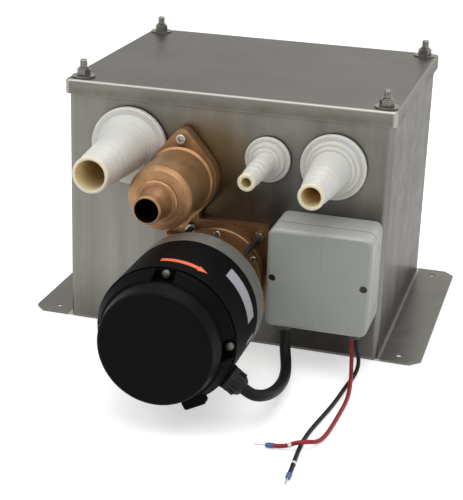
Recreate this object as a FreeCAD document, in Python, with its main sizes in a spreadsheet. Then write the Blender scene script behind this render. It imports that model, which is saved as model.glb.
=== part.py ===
import FreeCAD, Part
import math
import os
import Sketcher
from FreeCAD import Placement, Rotation, Vector

# Sewage lifting station: a stainless collecting tank that is bolted to the floor by two side
# flanges, with three plastic hose fittings, a bronze pump with a check valve, a direct-current
# motor and a control box, all on its front wall.
# The origin is on the floor, in the middle of the four foot holes. X runs to the right of
# someone who faces the pump, Y runs to the back and Z runs up. Lengths are millimetres.

SIZES = {
    # Tank
    "tank_width": 340.0,
    "tank_depth": 273.5,
    "shell_height": 258.8,
    "wall_sheet": 2.0,
    "base_sheet": 2.0,
    "bend_radius": 6.0,
    "screw_play": 0.2,
    "rim_width": 28.0,
    "flange_width": 44.7,
    "flange_chamfer": 11.0,
    "foot_hole_radius": 3.5,
    "foot_hole_from_side": 24.2,
    "foot_hole_from_end": 17.2,
    # Lid
    "lid_gasket_thickness": 3.0,
    "lid_gasket_width": 24.0,
    "lid_sheet": 2.0,
    "lid_overhang": 3.5,
    "lid_skirt": 15.3,
    "lid_edge_radius": 3.0,
    "lid_corner_radius": 6.0,
    "stud_radius": 4.0,
    "stud_from_side": 11.3,
    "stud_from_end": 13.35,
    "stud_past_nut": 8.5,
    "stud_hole_gap": 0.5,
    "thread_gap": 0.05,
    "nut_flats": 13.0,
    "nut_height": 6.5,
    "nut_collar_height": 1.5,
    "nut_collar_radius": 5.4,
    "washer_radius": 12.0,
    "washer_thickness": 1.6,
    # Hose fittings: shared
    "fitting_gasket": 2.0,
    "fitting_nut_thickness": 9.0,
    "fitting_nut_grip": 8.0,
    "fitting_shank_past_nut": 4.0,
    "fitting_hole_gap": 0.5,
    "tail_land": 10.0,
    "tail_barb_height": 0.5,
    "tail_barb_pitch": 12.0,
    "tail_lip": 1.0,
    "flange_round": 1.5,
    "fitting_nut_rib": 2.5,
    "fitting_nut_rib_width": 6.0,
    # Large inlet at the left
    "left_inlet_clear": 25.4,
    "left_inlet_height_ratio": 0.78246,
    "left_inlet_flange_radius": 40.5,
    "left_inlet_flange": 6.0,
    "left_inlet_step_base": 33.5,
    "left_inlet_step_radius": 26.7,
    "left_inlet_step": 5.5,
    "left_inlet_collar_radius": 26.0,
    "left_inlet_collar": 3.0,
    "left_inlet_root_radius": 24.0,
    "left_inlet_root_reach": 28.0,
    "left_inlet_tip_radius": 18.5,
    "left_inlet_bore_radius": 15.3,
    "left_inlet_shank_radius": 24.0,
    "left_inlet_reach": 114.0,
    # Vent in the middle
    "vent_x": 45.4,
    "vent_height_ratio": 0.78825,
    "vent_flange_radius": 23.5,
    "vent_flange": 4.0,
    "vent_step_base": 19.0,
    "vent_step_radius": 18.0,
    "vent_step": 5.0,
    "vent_collar_radius": 14.0,
    "vent_collar": 3.5,
    "vent_root_radius": 10.6,
    "vent_root_reach": 18.0,
    "vent_tip_radius": 8.8,
    "vent_bore_radius": 5.2,
    "vent_shank_radius": 13.0,
    "vent_reach": 84.7,
    # Small inlet at the right
    "right_inlet_x": 112.9,
    "right_inlet_height_ratio": 0.78825,
    "right_inlet_flange_radius": 33.6,
    "right_inlet_flange": 5.0,
    "right_inlet_step_base": 28.0,
    "right_inlet_step_radius": 27.0,
    "right_inlet_step": 5.0,
    "right_inlet_collar_radius": 23.5,
    "right_inlet_collar": 4.5,
    "right_inlet_root_radius": 19.5,
    "right_inlet_root_reach": 26.0,
    "right_inlet_tip_radius": 12.9,
    "right_inlet_bore_radius": 9.8,
    "right_inlet_shank_radius": 19.0,
    "right_inlet_reach": 104.0,
    # Pump
    "pump_x": 6.0,
    "pump_height_ratio": 0.34003,
    "pump_gasket": 1.5,
    "plate_half": 47.0,
    "plate_corner": 7.0,
    "plate_front": 11.0,
    "volute_radius": 48.0,
    "volute_waist_radius": 44.5,
    "volute_lip": 6.0,
    "volute_chamfer": 1.0,
    "volute_front": 35.0,
    "chamber_radius": 41.0,
    "chamber_floor": 8.5,
    "eye_radius": 17.0,
    "passage_width": 26.0,
    "passage_depth": 5.0,
    "horn_top": 30.0,
    "horn_front": 21.0,
    "horn_width": 30.0,
    "horn_round": 4.0,
    "cover_disc": 5.0,
    "cover_spigot": 2.0,
    "cover_fit": 0.2,
    "neck_radius": 24.0,
    "neck_bore": 19.0,
    "neck_flange_radius": 40.0,
    "neck_flange": 7.0,
    "drain_width": 18.0,
    "drain_length": 26.0,
    "seal_radius": 15.0,
    "seal_length": 12.0,
    "cover_screw_circle": 44.4,
    "cover_screw_radius": 2.0,
    "cover_screw_head": 3.4,
    "cover_screw_head_height": 3.0,
    "neck_screw_inset": 6.0,
    "neck_screw_in_bell": 4.0,
    "cover_screw_length": 14.0,
    "rod_offset": 36.0,
    "rod_radius": 3.0,
    "rod_in_bell": 12.0,
    "rod_hole_gap": 0.3,
    "rod_nut_flats": 10.0,
    "rod_nut_height": 5.0,
    "elbow_flange": 4.0,
    "elbow_radius": 20.0,
    "elbow_bore": 17.0,
    "elbow_neck": 8.0,
    "elbow_bend": 26.0,
    "elbow_mouth_height": 20.0,
    # Check valve
    "valve_x": -40.8,
    "valve_clear_rise": 46.5,
    "valve_face": 11.0,
    "valve_flange_radius": 37.0,
    "valve_flange": 5.0,
    "valve_lug_radius": 9.0,
    "valve_screw_radius": 3.0,
    "valve_screw_play": 0.3,
    "valve_screw_head": 5.0,
    "valve_screw_head_height": 6.0,
    "valve_screw_grip": 14.0,
    "valve_gasket": 1.0,
    "inlet_relief_gap": 1.0,
    "valve_gasket_relief": 30.3,
    "valve_cover_relief": 29.3,
    "port_radius": 16.0,
    "port_floor": 4.0,
    "step_ring_radius": 35.4,
    "valve_head_land": 2.6,
    "step_ring_front": 25.0,
    "step_ring_chamfer": 1.5,
    "dome_root_radius": 33.4,
    "dome_end_radius": 32.8,
    "dome_end": 83.0,
    "dome_nose_radius": 25.0,
    "dome_nose": 90.0,
    "collar_radius": 21.4,
    "collar_end": 96.0,
    "nozzle_root_radius": 17.3,
    "nozzle_tip_radius": 14.3,
    "nozzle_bore": 11.8,
    "nozzle_land": 12.0,
    "nozzle_reach": 123.2,
    "dome_wall": 3.5,
    "flap_radius": 19.0,
    "flap_disc": 3.0,
    "flap_weight_radius": 10.0,
    "flap_weight": 4.0,
    "flap_gap": 0.3,
    "flap_tab_width": 12.0,
    "flap_pin_rise": 21.5,
    "flap_pin_front": 3.2,
    "flap_pin_radius": 1.5,
    "flap_pin_length": 24.0,
    "flap_ear_width": 3.5,
    "flap_ear_gap": 0.5,
    "flap_ear_reach": 3.0,
    # Motor
    "bell_rear": 102.2,
    "bell_front": 127.2,
    "motor_radius": 67.0,
    "bell_wall": 5.0,
    "tube_wall": 3.0,
    "tube_front": 198.2,
    "spigot": 5.0,
    "spigot_fit": 0.1,
    "shield_radius": 65.5,
    "shield_front": 214.5,
    "shield_rim": 5.0,
    "shield_floor": 4.0,
    "shield_seat": 1.5,
    "shield_wall": 10.0,
    "shield_recess_width": 20.0,
    "shield_bay_radius": 22.0,
    "shield_bay_depth": 5.5,
    "shield_lug_angle": -62.0,
    "shield_lug_width": 22.0,
    "shield_lug_reach": 71.0,
    "shield_lug_start": 200.0,
    "shield_lug_end": 210.0,
    "shield_lug_corner": 3.0,
    "cap_root_radius": 58.0,
    "cap_tip_radius": 54.3,
    "cap_front": 233.2,
    "cap_edge_radius": 3.5,
    "cap_wall": 2.5,
    "through_bolt_circle": 60.5,
    "through_bolt_radius": 2.5,
    "through_bolt_head": 4.6,
    "through_bolt_head_height": 3.4,
    "head_gap": 0.4,
    "shaft_radius": 7.5,
    "shaft_seal_radius": 6.0,
    "journal_gap": 0.05,
    "bearing_radius": 17.5,
    "bearing_width": 11.0,
    "bearing_seat_wall": 4.0,
    "magnet_thickness": 8.0,
    "magnet_angle": 68.0,
    "magnet_start": 134.0,
    "magnet_end": 174.0,
    "air_gap": 1.5,
    "core_start": 136.0,
    "core_end": 170.0,
    "slot_depth": 20.0,
    "slot_width": 9.0,
    "coil_outer": 48.0,
    "coil_inner": 22.0,
    "coil_overhang": 7.0,
    "commutator_radius": 19.0,
    "commutator_start": 180.0,
    "commutator_end": 200.0,
    "brush_ring_radius": 53.5,
    "brush_ring_hole": 26.0,
    "brush_ring_front": 202.2,
    "brush_ring_thickness": 3.0,
    "brush_length": 28.0,
    "brush_width": 10.0,
    "brush_height": 8.0,
    "brush_box_wall": 2.0,
    "impeller_radius": 38.0,
    "impeller_hub": 11.0,
    "impeller_shroud": 3.0,
    "impeller_rear": 10.0,
    "impeller_front": 30.0,
    "vane_thickness": 3.0,
    "vane_curve": 30.0,
    "vane_sweep": 55.0,
    # Motor cable gland
    "gland_along": 185.0,
    "gland_angle": 34.0,
    "gland_boss_radius": 12.5,
    "gland_boss_rise": 2.0,
    "gland_hex_flats": 24.0,
    "gland_hex": 5.0,
    "gland_dome_radius": 11.0,
    "gland_dome": 12.0,
    "gland_mouth_radius": 7.3,
    "gland_leg": 8.5,
    "gland_rib": 1.2,
    # Control box
    "box_x": 114.2,
    "box_height_ratio": 0.3864,
    "box_width": 104.5,
    "box_tall": 104.0,
    "box_depth": 58.0,
    "box_split": 34.0,
    "box_corner": 9.0,
    "box_edge": 5.0,
    "box_wall": 3.0,
    "box_seal": 1.0,
    "box_boss_radius": 5.0,
    "box_screw_offset": 46.0,
    "box_screw_radius": 2.0,
    "box_screw_head": 3.6,
    "box_screw_head_height": 2.4,
    "box_screw_sink": 3.0,
    "box_screw_length": 40.0,
    "panel_step": 0.8,
    "panel_left": 1.0,
    "side_slot_offset": 33.0,
    "side_slot_length": 9.0,
    "side_slot_width": 3.0,
    "side_slot_depth": 1.2,
    "board_half": 40.0,
    "board_thickness": 1.6,
    "board_post": 7.0,
    "board_post_radius": 3.0,
    "board_post_offset": 33.0,
    "relay_size": 20.0,
    "relay_place": 6.0,
    "relay_rise": 16.0,
    "terminal_length": 46.0,
    "terminal_width": 12.0,
    "terminal_inset": 3.0,
    "terminal_rise": 12.0,
    "terminal_pitch": 9.0,
    "terminal_hole": 3.0,
    # Box grommets and cords
    "cable_radius": 5.6,
    "cable_entry_x": 81.5,
    "cable_entry_leg": 10.0,
    "wire_radius": 2.1,
    "wire_entry_x": 152.8,
    "wire_entry_leg": 9.0,
    "wire_spacing": 4.8,
    "cable_grommet_radius": 8.1,
    "wire_grommet_radius": 6.5,
    "grommet_lip": 1.4,
    "grommet_rim": 1.5,
    "grommet_stand": 2.0,
    "grommet_drop": 5.0,
    "ferrule_collar_radius": 2.75,
    "ferrule_collar": 7.5,
    "ferrule_pin_radius": 0.9,
    "ferrule_pin": 10.0,
    "marker_radius": 2.6,
    "marker_length": 3.4,
    "marker_gap": 0.15,
    # Level switch in the tank
    "switch_x": 114.2,
    "switch_height": 140.0,
    "switch_body_radius": 11.0,
    "switch_body_length": 20.0,
    "switch_fork_length": 12.0,
    "switch_fork_width": 3.0,
    "switch_tongue": 6.0,
    "switch_side_gap": 0.4,
    "switch_pin_radius": 2.0,
    "switch_stem_radius": 7.0,
    "float_radius": 19.0,
    "float_tall": 44.0,
    "float_arm": 74.0,
    "float_taper": 7.0,
    "tongue_half": 4.0,
    "tongue_reach": 14.0,
    "stem_start": 10.0,
    "float_arm_radius": 3.0,
    "float_rest_angle": 58.0,
}

# Places that follow from the sizes. Distances from the wall run forwards from the outer face
# of the front wall.
PLACES = {
    "half_width": "tank_width / 2",
    "half_depth": "tank_depth / 2",
    "front_wall": "-tank_depth / 2",
    "valve_screw_offset": "step_ring_radius + valve_screw_head + valve_head_land",
    "valve_rise": "valve_screw_offset + valve_clear_rise",
    "left_inlet_x": "valve_x - step_ring_radius - left_inlet_clear",
    "rim_top": "base_sheet + shell_height",
    "left_inlet_height": "shell_height * left_inlet_height_ratio",
    "vent_height": "shell_height * vent_height_ratio",
    "right_inlet_height": "shell_height * right_inlet_height_ratio",
    "pump_height": "shell_height * pump_height_ratio",
    "valve_height": "pump_height + valve_rise",
    "box_height": "shell_height * box_height_ratio",
    "lid_under": "rim_top + lid_gasket_thickness",
    "lid_top": "lid_under + lid_sheet",
    "lid_half_width": "half_width + lid_overhang",
    "lid_half_depth": "half_depth + lid_overhang",
    "washer_top": "lid_top + washer_thickness",
    "nut_top": "washer_top + nut_height + nut_collar_height",
    "foot_half_width": "half_width + flange_width",
    "foot_x": "foot_half_width - foot_hole_from_side",
    "foot_y": "half_depth - foot_hole_from_end",
    "stud_x": "half_width - stud_from_side",
    "stud_y": "half_depth - stud_from_end",
    "fitting_nut_face": "-wall_sheet",
    "fitting_shank_end": "-wall_sheet - fitting_nut_thickness - fitting_shank_past_nut",
    "elbow_back": "-wall_sheet - elbow_flange",
    "rod_head_back": "elbow_back - rod_nut_height",
    "valve_dx": "valve_x - pump_x",
    "valve_dy": "valve_rise",
    "cover_front": "volute_front + cover_disc",
    "seal_rear": "volute_front + 1.0",
    "valve_cover_rear": "valve_face + valve_gasket",
    "valve_flange_front": "valve_cover_rear + valve_flange",
    "flap_rear": "valve_face + flap_gap",
    "flap_pin_place": "valve_face + flap_pin_front",
    "tube_bore": "motor_radius - tube_wall",
    "core_radius": "tube_bore - magnet_thickness - air_gap",
    "drive_bearing_rear": "bell_rear + bell_wall",
    "rear_bearing_rear": "shield_front - bearing_width - 1.0",
    "board_rear": "box_wall + board_post",
    "board_front": "board_rear + board_thickness",
    "box_floor": "box_height - box_tall / 2",
    "grommet_mouth": "box_floor - grommet_drop",
    "cover_rear": "box_split + box_seal",
    "entry_front": "(cover_rear + box_depth - box_wall) / 2",
    "switch_pin_back": "wall_sheet + switch_body_length + switch_fork_length - 5.0",
}

doc = FreeCAD.newDocument("lifting_station")
sheet = doc.addObject("Spreadsheet::Sheet", "Sheet")
for line, (alias, size) in enumerate(SIZES.items(), start=1):
    sheet.set(f"A{line}", alias)
    sheet.set(f"B{line}", str(size))
    sheet.setAlias(f"B{line}", alias)
doc.recompute()

# Looking out from the front wall: local X right, local Y up, local Z forwards.
FORWARDS = Rotation(Vector(1, 0, 0), 90)
UPRIGHT = Rotation()
# Local Z towards the back of the tank, local X right, local Y down.
BACKWARDS = Rotation(Vector(1, 0, 0), -90)
# Local Z down, local X right, local Y forwards.
DOWNWARDS = Rotation(Vector(1, 0, 0), 180)


def bound(words):
    """The same sum with each size named by its cell and each place written out."""
    found = []
    word = ""
    for letter in str(words) + " ":
        if letter.isalpha() or letter == "_" or (word and letter.isdigit()):
            word += letter
            continue
        if word in SIZES:
            found.append("Sheet." + word)
        elif word in PLACES:
            found.append("(" + bound(PLACES[word]) + ")")
        else:
            found.append(word)
        found.append(letter)
        word = ""
    return "".join(found).strip()


def value(words):
    """The number that a sum of sizes comes to."""
    result = sheet.evalExpression(bound(words))
    return float(getattr(result, "Value", result))


def new_body(label, x="0", y="0", z="0", turn=UPRIGHT):
    body = doc.addObject("PartDesign::Body", label)
    body.Label = label
    body.Placement = Placement(Vector(), turn)
    for axis, place in (("x", x), ("y", y), ("z", z)):
        body.setExpression(".Placement.Base." + axis, bound(place))
    return body


def on_front(label, x, z):
    """A body on the outer face of the front wall."""
    return new_body(label, x, "front_wall", z, FORWARDS)


def sketch_on(body, plane, lift="0"):
    sketch = body.newObject("Sketcher::SketchObject", body.Name + "_sketch")
    origin_plane = next(part for part in body.Origin.OriginFeatures if part.Role == plane)
    sketch.AttachmentSupport = [(origin_plane, "")]
    sketch.MapMode = "FlatFace"
    sketch.setExpression(".AttachmentOffset.Base.z", bound(lift))
    return sketch


def hold(sketch, kind, *where_and_size):
    """A dimension of the sketch that follows a sum of sizes."""
    *where, size = where_and_size
    index = sketch.addConstraint(Sketcher.Constraint(kind, *where, value(size)))
    sketch.setExpression(f"Constraints[{index}]", bound(size))


def outline(sketch, corners):
    """A closed run of straight lines through corners given as sums of sizes."""
    points = [Vector(value(x), value(y), 0) for x, y in corners]
    first = sketch.GeometryCount
    count = len(corners)
    for index in range(count):
        line = Part.LineSegment(points[index], points[(index + 1) % count])
        sketch.addGeometry(line, False)
    for index in range(count):
        following = first + (index + 1) % count
        sketch.addConstraint(Sketcher.Constraint("Coincident", first + index, 2, following, 1))
    for index, (x, y) in enumerate(corners):
        hold(sketch, "DistanceX", first + index, 1, x)
        hold(sketch, "DistanceY", first + index, 1, y)
    return sketch


def rectangle(sketch, left, right, bottom, top):
    return outline(sketch, [(left, bottom), (right, bottom), (right, top), (left, top)])


def circle(sketch, x, y, radius):
    round_line = Part.Circle(Vector(value(x), value(y), 0), Vector(0, 0, 1), value(radius))
    index = sketch.addGeometry(round_line, False)
    hold(sketch, "DistanceX", index, 3, x)
    hold(sketch, "DistanceY", index, 3, y)
    hold(sketch, "Radius", index, radius)
    return sketch


def hexagon(sketch, x, y, flats):
    corners = []
    for turn in range(0, 360, 60):
        corners.append((f"{x} + {flats} / sqrt(3) * cos({turn})",
                        f"{y} + {flats} / sqrt(3) * sin({turn})"))
    return outline(sketch, corners)


def add(body, kind, sketch, **settings):
    feature = body.newObject("PartDesign::" + kind, body.Name + "_" + kind.lower())
    feature.Profile = sketch
    for name, setting in settings.items():
        setattr(feature, name, setting)
    return feature


def pad(body, sketch, length, down=False):
    feature = add(body, "Pad", sketch, Reversed=down)
    feature.setExpression("Length", bound(length))
    return feature


def pocket(body, sketch, depth):
    """A cut from the sketch plane against its normal."""
    feature = add(body, "Pocket", sketch)
    feature.setExpression("Length", bound(depth))
    return feature


def turned(body, profile):
    """A turned solid about the local Z axis. The profile holds pairs: radius, distance along."""
    sketch = outline(sketch_on(body, "XZ_Plane"), profile)
    return add(body, "Revolution", sketch, ReferenceAxis=(sketch, ["V_Axis"]), Angle=360)


def turned_cut(body, profile):
    sketch = outline(sketch_on(body, "XZ_Plane"), profile)
    return add(body, "Groove", sketch, ReferenceAxis=(sketch, ["V_Axis"]), Angle=360)


def ring_of(body, features, count):
    """Copies of the last features about the local Z axis."""
    pattern = body.newObject("PartDesign::PolarPattern", body.Name + "_ring")
    pattern.Originals = features
    pattern.Axis = (features[0].Profile[0], ["N_Axis"])
    pattern.Angle = 360
    pattern.Occurrences = count
    body.Tip = pattern
    return pattern


def edges(shape, test):
    """Names of the edges whose ends and middle all pass a test."""
    names = []
    for index, edge in enumerate(shape.Edges, start=1):
        middle = edge.valueAt((edge.FirstParameter + edge.LastParameter) / 2)
        if all(test(point) for point in [vertex.Point for vertex in edge.Vertexes] + [middle]):
            names.append(f"Edge{index}")
    return names


def rounded(body, test, radius, kind="Fillet"):
    """Rounds, or chamfers, the edges of the body's last feature that pass the test."""
    doc.recompute()
    base = body.Tip
    feature = body.newObject("PartDesign::" + kind, body.Name + "_" + kind.lower())
    feature.Base = (base, edges(base.Shape, test))
    feature.setExpression("Radius" if kind == "Fillet" else "Size", bound(radius))
    return feature


def group(label, members):
    together = doc.addObject("Part::Compound", label)
    together.Label = label
    together.Links = members
    return together


def near(number, words):
    return abs(number - value(words)) < 0.01


def corner_edge(half_x, half_y):
    """Upright edges at the corners of a rectangle about the local Z axis."""
    return lambda point: near(abs(point.x), half_x) and near(abs(point.y), half_y)


def all_corners(x, y):
    return [(f"{side} * ({x})", f"{end} * ({y})") for side in (-1, 1) for end in (-1, 1)]


# Tank

def make_base_plate():
    body = new_body("base_plate")
    sketch = sketch_on(body, "XY_Plane")
    inner_x = "foot_half_width - flange_chamfer"
    inner_y = "half_depth - flange_chamfer"
    outline(sketch, [
        (f"-({inner_x})", "-half_depth"), (inner_x, "-half_depth"),
        ("foot_half_width", f"-({inner_y})"), ("foot_half_width", inner_y),
        (inner_x, "half_depth"), (f"-({inner_x})", "half_depth"),
        ("-foot_half_width", inner_y), ("-foot_half_width", f"-({inner_y})"),
    ])
    pad(body, sketch, "base_sheet")
    holes = sketch_on(body, "XY_Plane", "base_sheet")
    for x, y in all_corners("foot_x", "foot_y"):
        circle(holes, x, y, "foot_hole_radius")
    pocket(body, holes, "base_sheet")
    return body


def make_tank_shell():
    body = new_body("tank_shell")
    block = sketch_on(body, "XY_Plane", "base_sheet")
    rectangle(block, "-half_width", "half_width", "-half_depth", "half_depth")
    pad(body, block, "shell_height")
    rounded(body, corner_edge("half_width", "half_depth"), "bend_radius")
    inner_x = "half_width - wall_sheet"
    inner_y = "half_depth - wall_sheet"
    hollow = sketch_on(body, "XY_Plane", "rim_top - wall_sheet")
    rectangle(hollow, f"-({inner_x})", inner_x, f"-({inner_y})", inner_y)
    pocket(body, hollow, "shell_height - wall_sheet")
    rounded(body, corner_edge(inner_x, inner_y), "bend_radius - wall_sheet")
    mouth_x = "half_width - rim_width"
    mouth_y = "half_depth - rim_width"
    mouth = sketch_on(body, "XY_Plane", "rim_top")
    rectangle(mouth, f"-({mouth_x})", mouth_x, f"-({mouth_y})", mouth_y)
    pocket(body, mouth, "wall_sheet")
    holes = sketch_on(body, "XZ_Plane", "half_depth")
    for name in ("left_inlet", "vent", "right_inlet"):
        circle(holes, name + "_x", name + "_height", name + "_shank_radius + fitting_hole_gap")
    circle(holes, "pump_x", "pump_height", "eye_radius")
    for x, y in all_corners("rod_offset", "rod_offset"):
        circle(holes, "pump_x + " + x, "pump_height + " + y, "rod_radius + rod_hole_gap")
    circle(holes, "switch_x", "switch_height", "switch_stem_radius + fitting_hole_gap")
    pocket(body, holes, "2 * wall_sheet")
    return body


def make_lid_studs():
    studs = []
    for number, (x, y) in enumerate(all_corners("stud_x", "stud_y"), start=1):
        stud = new_body(f"lid_stud_{number}", x, y, "rim_top")
        pad(stud, circle(sketch_on(stud, "XY_Plane"), "0", "0", "stud_radius"),
            "nut_top - rim_top + stud_past_nut")
        top = "nut_top - rim_top + stud_past_nut"
        rounded(stud, lambda point: near(point.z, top), "0.8", "Chamfer")
        studs.append(stud)
    return group("lid_studs", studs)


def make_lid():
    body = new_body("lid")
    block = sketch_on(body, "XY_Plane", "lid_top - lid_skirt")
    rectangle(block, "-lid_half_width", "lid_half_width", "-lid_half_depth", "lid_half_depth")
    pad(body, block, "lid_skirt")
    rounded(body, corner_edge("lid_half_width", "lid_half_depth"), "lid_corner_radius")
    rounded(body, lambda point: near(point.z, "lid_top"), "lid_edge_radius")
    inner_x = "lid_half_width - lid_sheet"
    inner_y = "lid_half_depth - lid_sheet"
    hollow = sketch_on(body, "XY_Plane", "lid_under")
    rectangle(hollow, f"-({inner_x})", inner_x, f"-({inner_y})", inner_y)
    pocket(body, hollow, "lid_skirt")
    rounded(body, corner_edge(inner_x, inner_y), "lid_corner_radius - lid_sheet")
    holes = sketch_on(body, "XY_Plane", "lid_top")
    for x, y in all_corners("stud_x", "stud_y"):
        circle(holes, x, y, "stud_radius + stud_hole_gap")
    pocket(body, holes, "2 * lid_sheet")
    return body


def make_lid_gasket():
    body = new_body("lid_gasket")
    sketch = sketch_on(body, "XY_Plane", "rim_top")
    rectangle(sketch, "-half_width", "half_width", "-half_depth", "half_depth")
    inner_x = "half_width - lid_gasket_width"
    inner_y = "half_depth - lid_gasket_width"
    rectangle(sketch, f"-({inner_x})", inner_x, f"-({inner_y})", inner_y)
    pad(body, sketch, "lid_gasket_thickness")
    holes = sketch_on(body, "XY_Plane", "lid_under")
    for x, y in all_corners("stud_x", "stud_y"):
        circle(holes, x, y, "stud_radius + stud_hole_gap")
    pocket(body, holes, "lid_gasket_thickness")
    return body


def hex_nut(label, x, y, z, turn, flats, height, bore, collar=None):
    """A hexagon nut with chamfered corners and, where given, a locking collar."""
    body = new_body(label, x, y, z, turn)
    pad(body, hexagon(sketch_on(body, "XY_Plane"), "0", "0", flats), height)
    tip = f"{flats} / sqrt(3)"
    turned_cut(body, [
        (f"{flats} / 2", height), (f"{tip} + 1", height),
        (f"{tip} + 1", f"{height} - 0.3 * ({tip} + 1 - {flats} / 2) - 0.3"),
    ])
    top = height
    if collar:
        radius, rise = collar
        pad(body, circle(sketch_on(body, "XY_Plane", height), "0", "0", radius), rise)
        top = f"{height} + {rise}"
    pocket(body, circle(sketch_on(body, "XY_Plane", top), "0", "0", bore), top)
    return body


def make_lid_nuts():
    nuts = []
    for number, (x, y) in enumerate(all_corners("stud_x", "stud_y"), start=1):
        nuts.append(hex_nut(
            f"lid_nut_{number}", x, y, "washer_top", UPRIGHT, "nut_flats", "nut_height",
            "stud_radius + thread_gap", ("nut_collar_radius", "nut_collar_height")))
    return group("lid_nuts", nuts)


def make_lid_washers():
    washers = []
    for number, (x, y) in enumerate(all_corners("stud_x", "stud_y"), start=1):
        washer = new_body(f"lid_washer_{number}", x, y, "lid_top")
        sketch = circle(sketch_on(washer, "XY_Plane"), "0", "0", "washer_radius")
        circle(sketch, "0", "0", "stud_radius + screw_play")
        pad(washer, sketch, "washer_thickness")
        washers.append(washer)
    return group("lid_washers", washers)


# Hose fittings

def make_fitting(label, name):
    """A flanged tank fitting: a shank through the wall, a stepped flange and a hose tail."""
    body = on_front(label, name + "_x", name + "_height")
    flange_front = f"fitting_gasket + {name}_flange"
    step_front = f"{flange_front} + {name}_step"
    collar_front = f"{step_front} + {name}_collar"
    root = f"fitting_gasket + {name}_root_reach"
    land = f"{name}_reach - tail_land"
    profile = [
        (f"{name}_bore_radius", "fitting_shank_end"), (f"{name}_shank_radius", "fitting_shank_end"),
        (f"{name}_shank_radius", "fitting_gasket"), (f"{name}_flange_radius", "fitting_gasket"),
        (f"{name}_flange_radius", flange_front), (f"{name}_step_base", flange_front),
        (f"{name}_step_radius", step_front), (f"{name}_collar_radius", f"{step_front} + 0.3"),
        (f"{name}_collar_radius - 0.6", collar_front),
        (f"{name}_root_radius + 0.5", f"{collar_front} + 0.3"), (f"{name}_root_radius", root),
    ]
    barbs = 3
    for barb in range(barbs, 0, -1):
        place = f"{land} - {barb} * tail_barb_pitch"
        taper = f"({name}_root_radius - {name}_tip_radius)"
        radius = f"{name}_tip_radius + {taper} * ({land} - ({place})) / ({land} - ({root}))"
        profile.append((radius, place))
        profile.append((f"{radius} + tail_barb_height", f"{place} + 1"))
        profile.append((f"{radius} - 0.2", f"{place} + 3"))
    profile += [
        (f"{name}_tip_radius", land), (f"{name}_tip_radius", f"{name}_reach - tail_lip"),
        (f"{name}_tip_radius - tail_lip", f"{name}_reach"), (f"{name}_bore_radius", f"{name}_reach"),
    ]
    turned(body, profile)
    rounded(body, lambda point: near(math.hypot(point.x, point.y), f"{name}_flange_radius")
            and near(point.z, flange_front), "flange_round")
    return body


def make_fitting_nut(label, name):
    """A round back nut with six finger ribs, screwed on the shank inside the tank."""
    body = on_front(label, name + "_x", name + "_height")
    outer = f"{name}_shank_radius + fitting_nut_grip"
    face = sketch_on(body, "XY_Plane", "fitting_nut_face")
    circle(face, "0", "0", outer)
    pad(body, face, "fitting_nut_thickness", down=True)
    rib = sketch_on(body, "XY_Plane", "fitting_nut_face")
    rectangle(rib, "-fitting_nut_rib_width / 2", "fitting_nut_rib_width / 2",
              f"{outer} - fitting_nut_rib", f"{outer} + fitting_nut_rib")
    ring_of(body, [pad(body, rib, "fitting_nut_thickness", down=True)], 6)
    bore = sketch_on(body, "XY_Plane", "fitting_nut_face")
    pocket(body, circle(bore, "0", "0", f"{name}_shank_radius + thread_gap"), "fitting_nut_thickness")
    return body


def make_fitting_gaskets():
    gaskets = []
    for name in ("left_inlet", "vent", "right_inlet"):
        body = on_front(name + "_gasket", name + "_x", name + "_height")
        sketch = circle(sketch_on(body, "XY_Plane"), "0", "0", f"{name}_flange_radius - 1")
        circle(sketch, "0", "0", f"{name}_shank_radius + 0.2")
        pad(body, sketch, "fitting_gasket")
        gaskets.append(body)
    return group("fitting_gaskets", gaskets)


# Pump

def on_pump(label):
    return on_front(label, "pump_x", "pump_height")


def valve_flange_pads(body, rear, thickness, x, y, relief=None):
    """A round flange with a lug above and below, straight flanks from round to lug and, where
    given, a relief of that radius around the large inlet."""
    for cx, cy, radius in ((x, y, "valve_flange_radius"),
                           (x, f"{y} + valve_screw_offset", "valve_lug_radius"),
                           (x, f"{y} - valve_screw_offset", "valve_lug_radius")):
        pad(body, circle(sketch_on(body, "XY_Plane", rear), cx, cy, radius), thickness)
    lean = "((valve_flange_radius - valve_lug_radius) / valve_screw_offset)"
    spread = f"sqrt(1 - pow({lean}; 2))"
    for side in (1, -1):
        flank = sketch_on(body, "XY_Plane", rear)
        wide = f"valve_flange_radius * {spread}"
        low = f"{side} * valve_flange_radius * {lean}"
        slim = f"valve_lug_radius * {spread}"
        high = f"{side} * (valve_screw_offset + valve_lug_radius * {lean})"
        outline(flank, [
            (f"{x} - {wide}", f"{y} + {low}"), (f"{x} + {wide}", f"{y} + {low}"),
            (f"{x} + {slim}", f"{y} + {high}"), (f"{x} - {slim}", f"{y} + {high}"),
        ])
        pad(body, flank, thickness)
    if relief:
        bite = sketch_on(body, "XY_Plane", f"{rear} + {thickness}")
        circle(bite, f"{x} + left_inlet_x - valve_x", f"{y} + left_inlet_height - valve_height", relief)
        pocket(body, bite, thickness)


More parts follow.
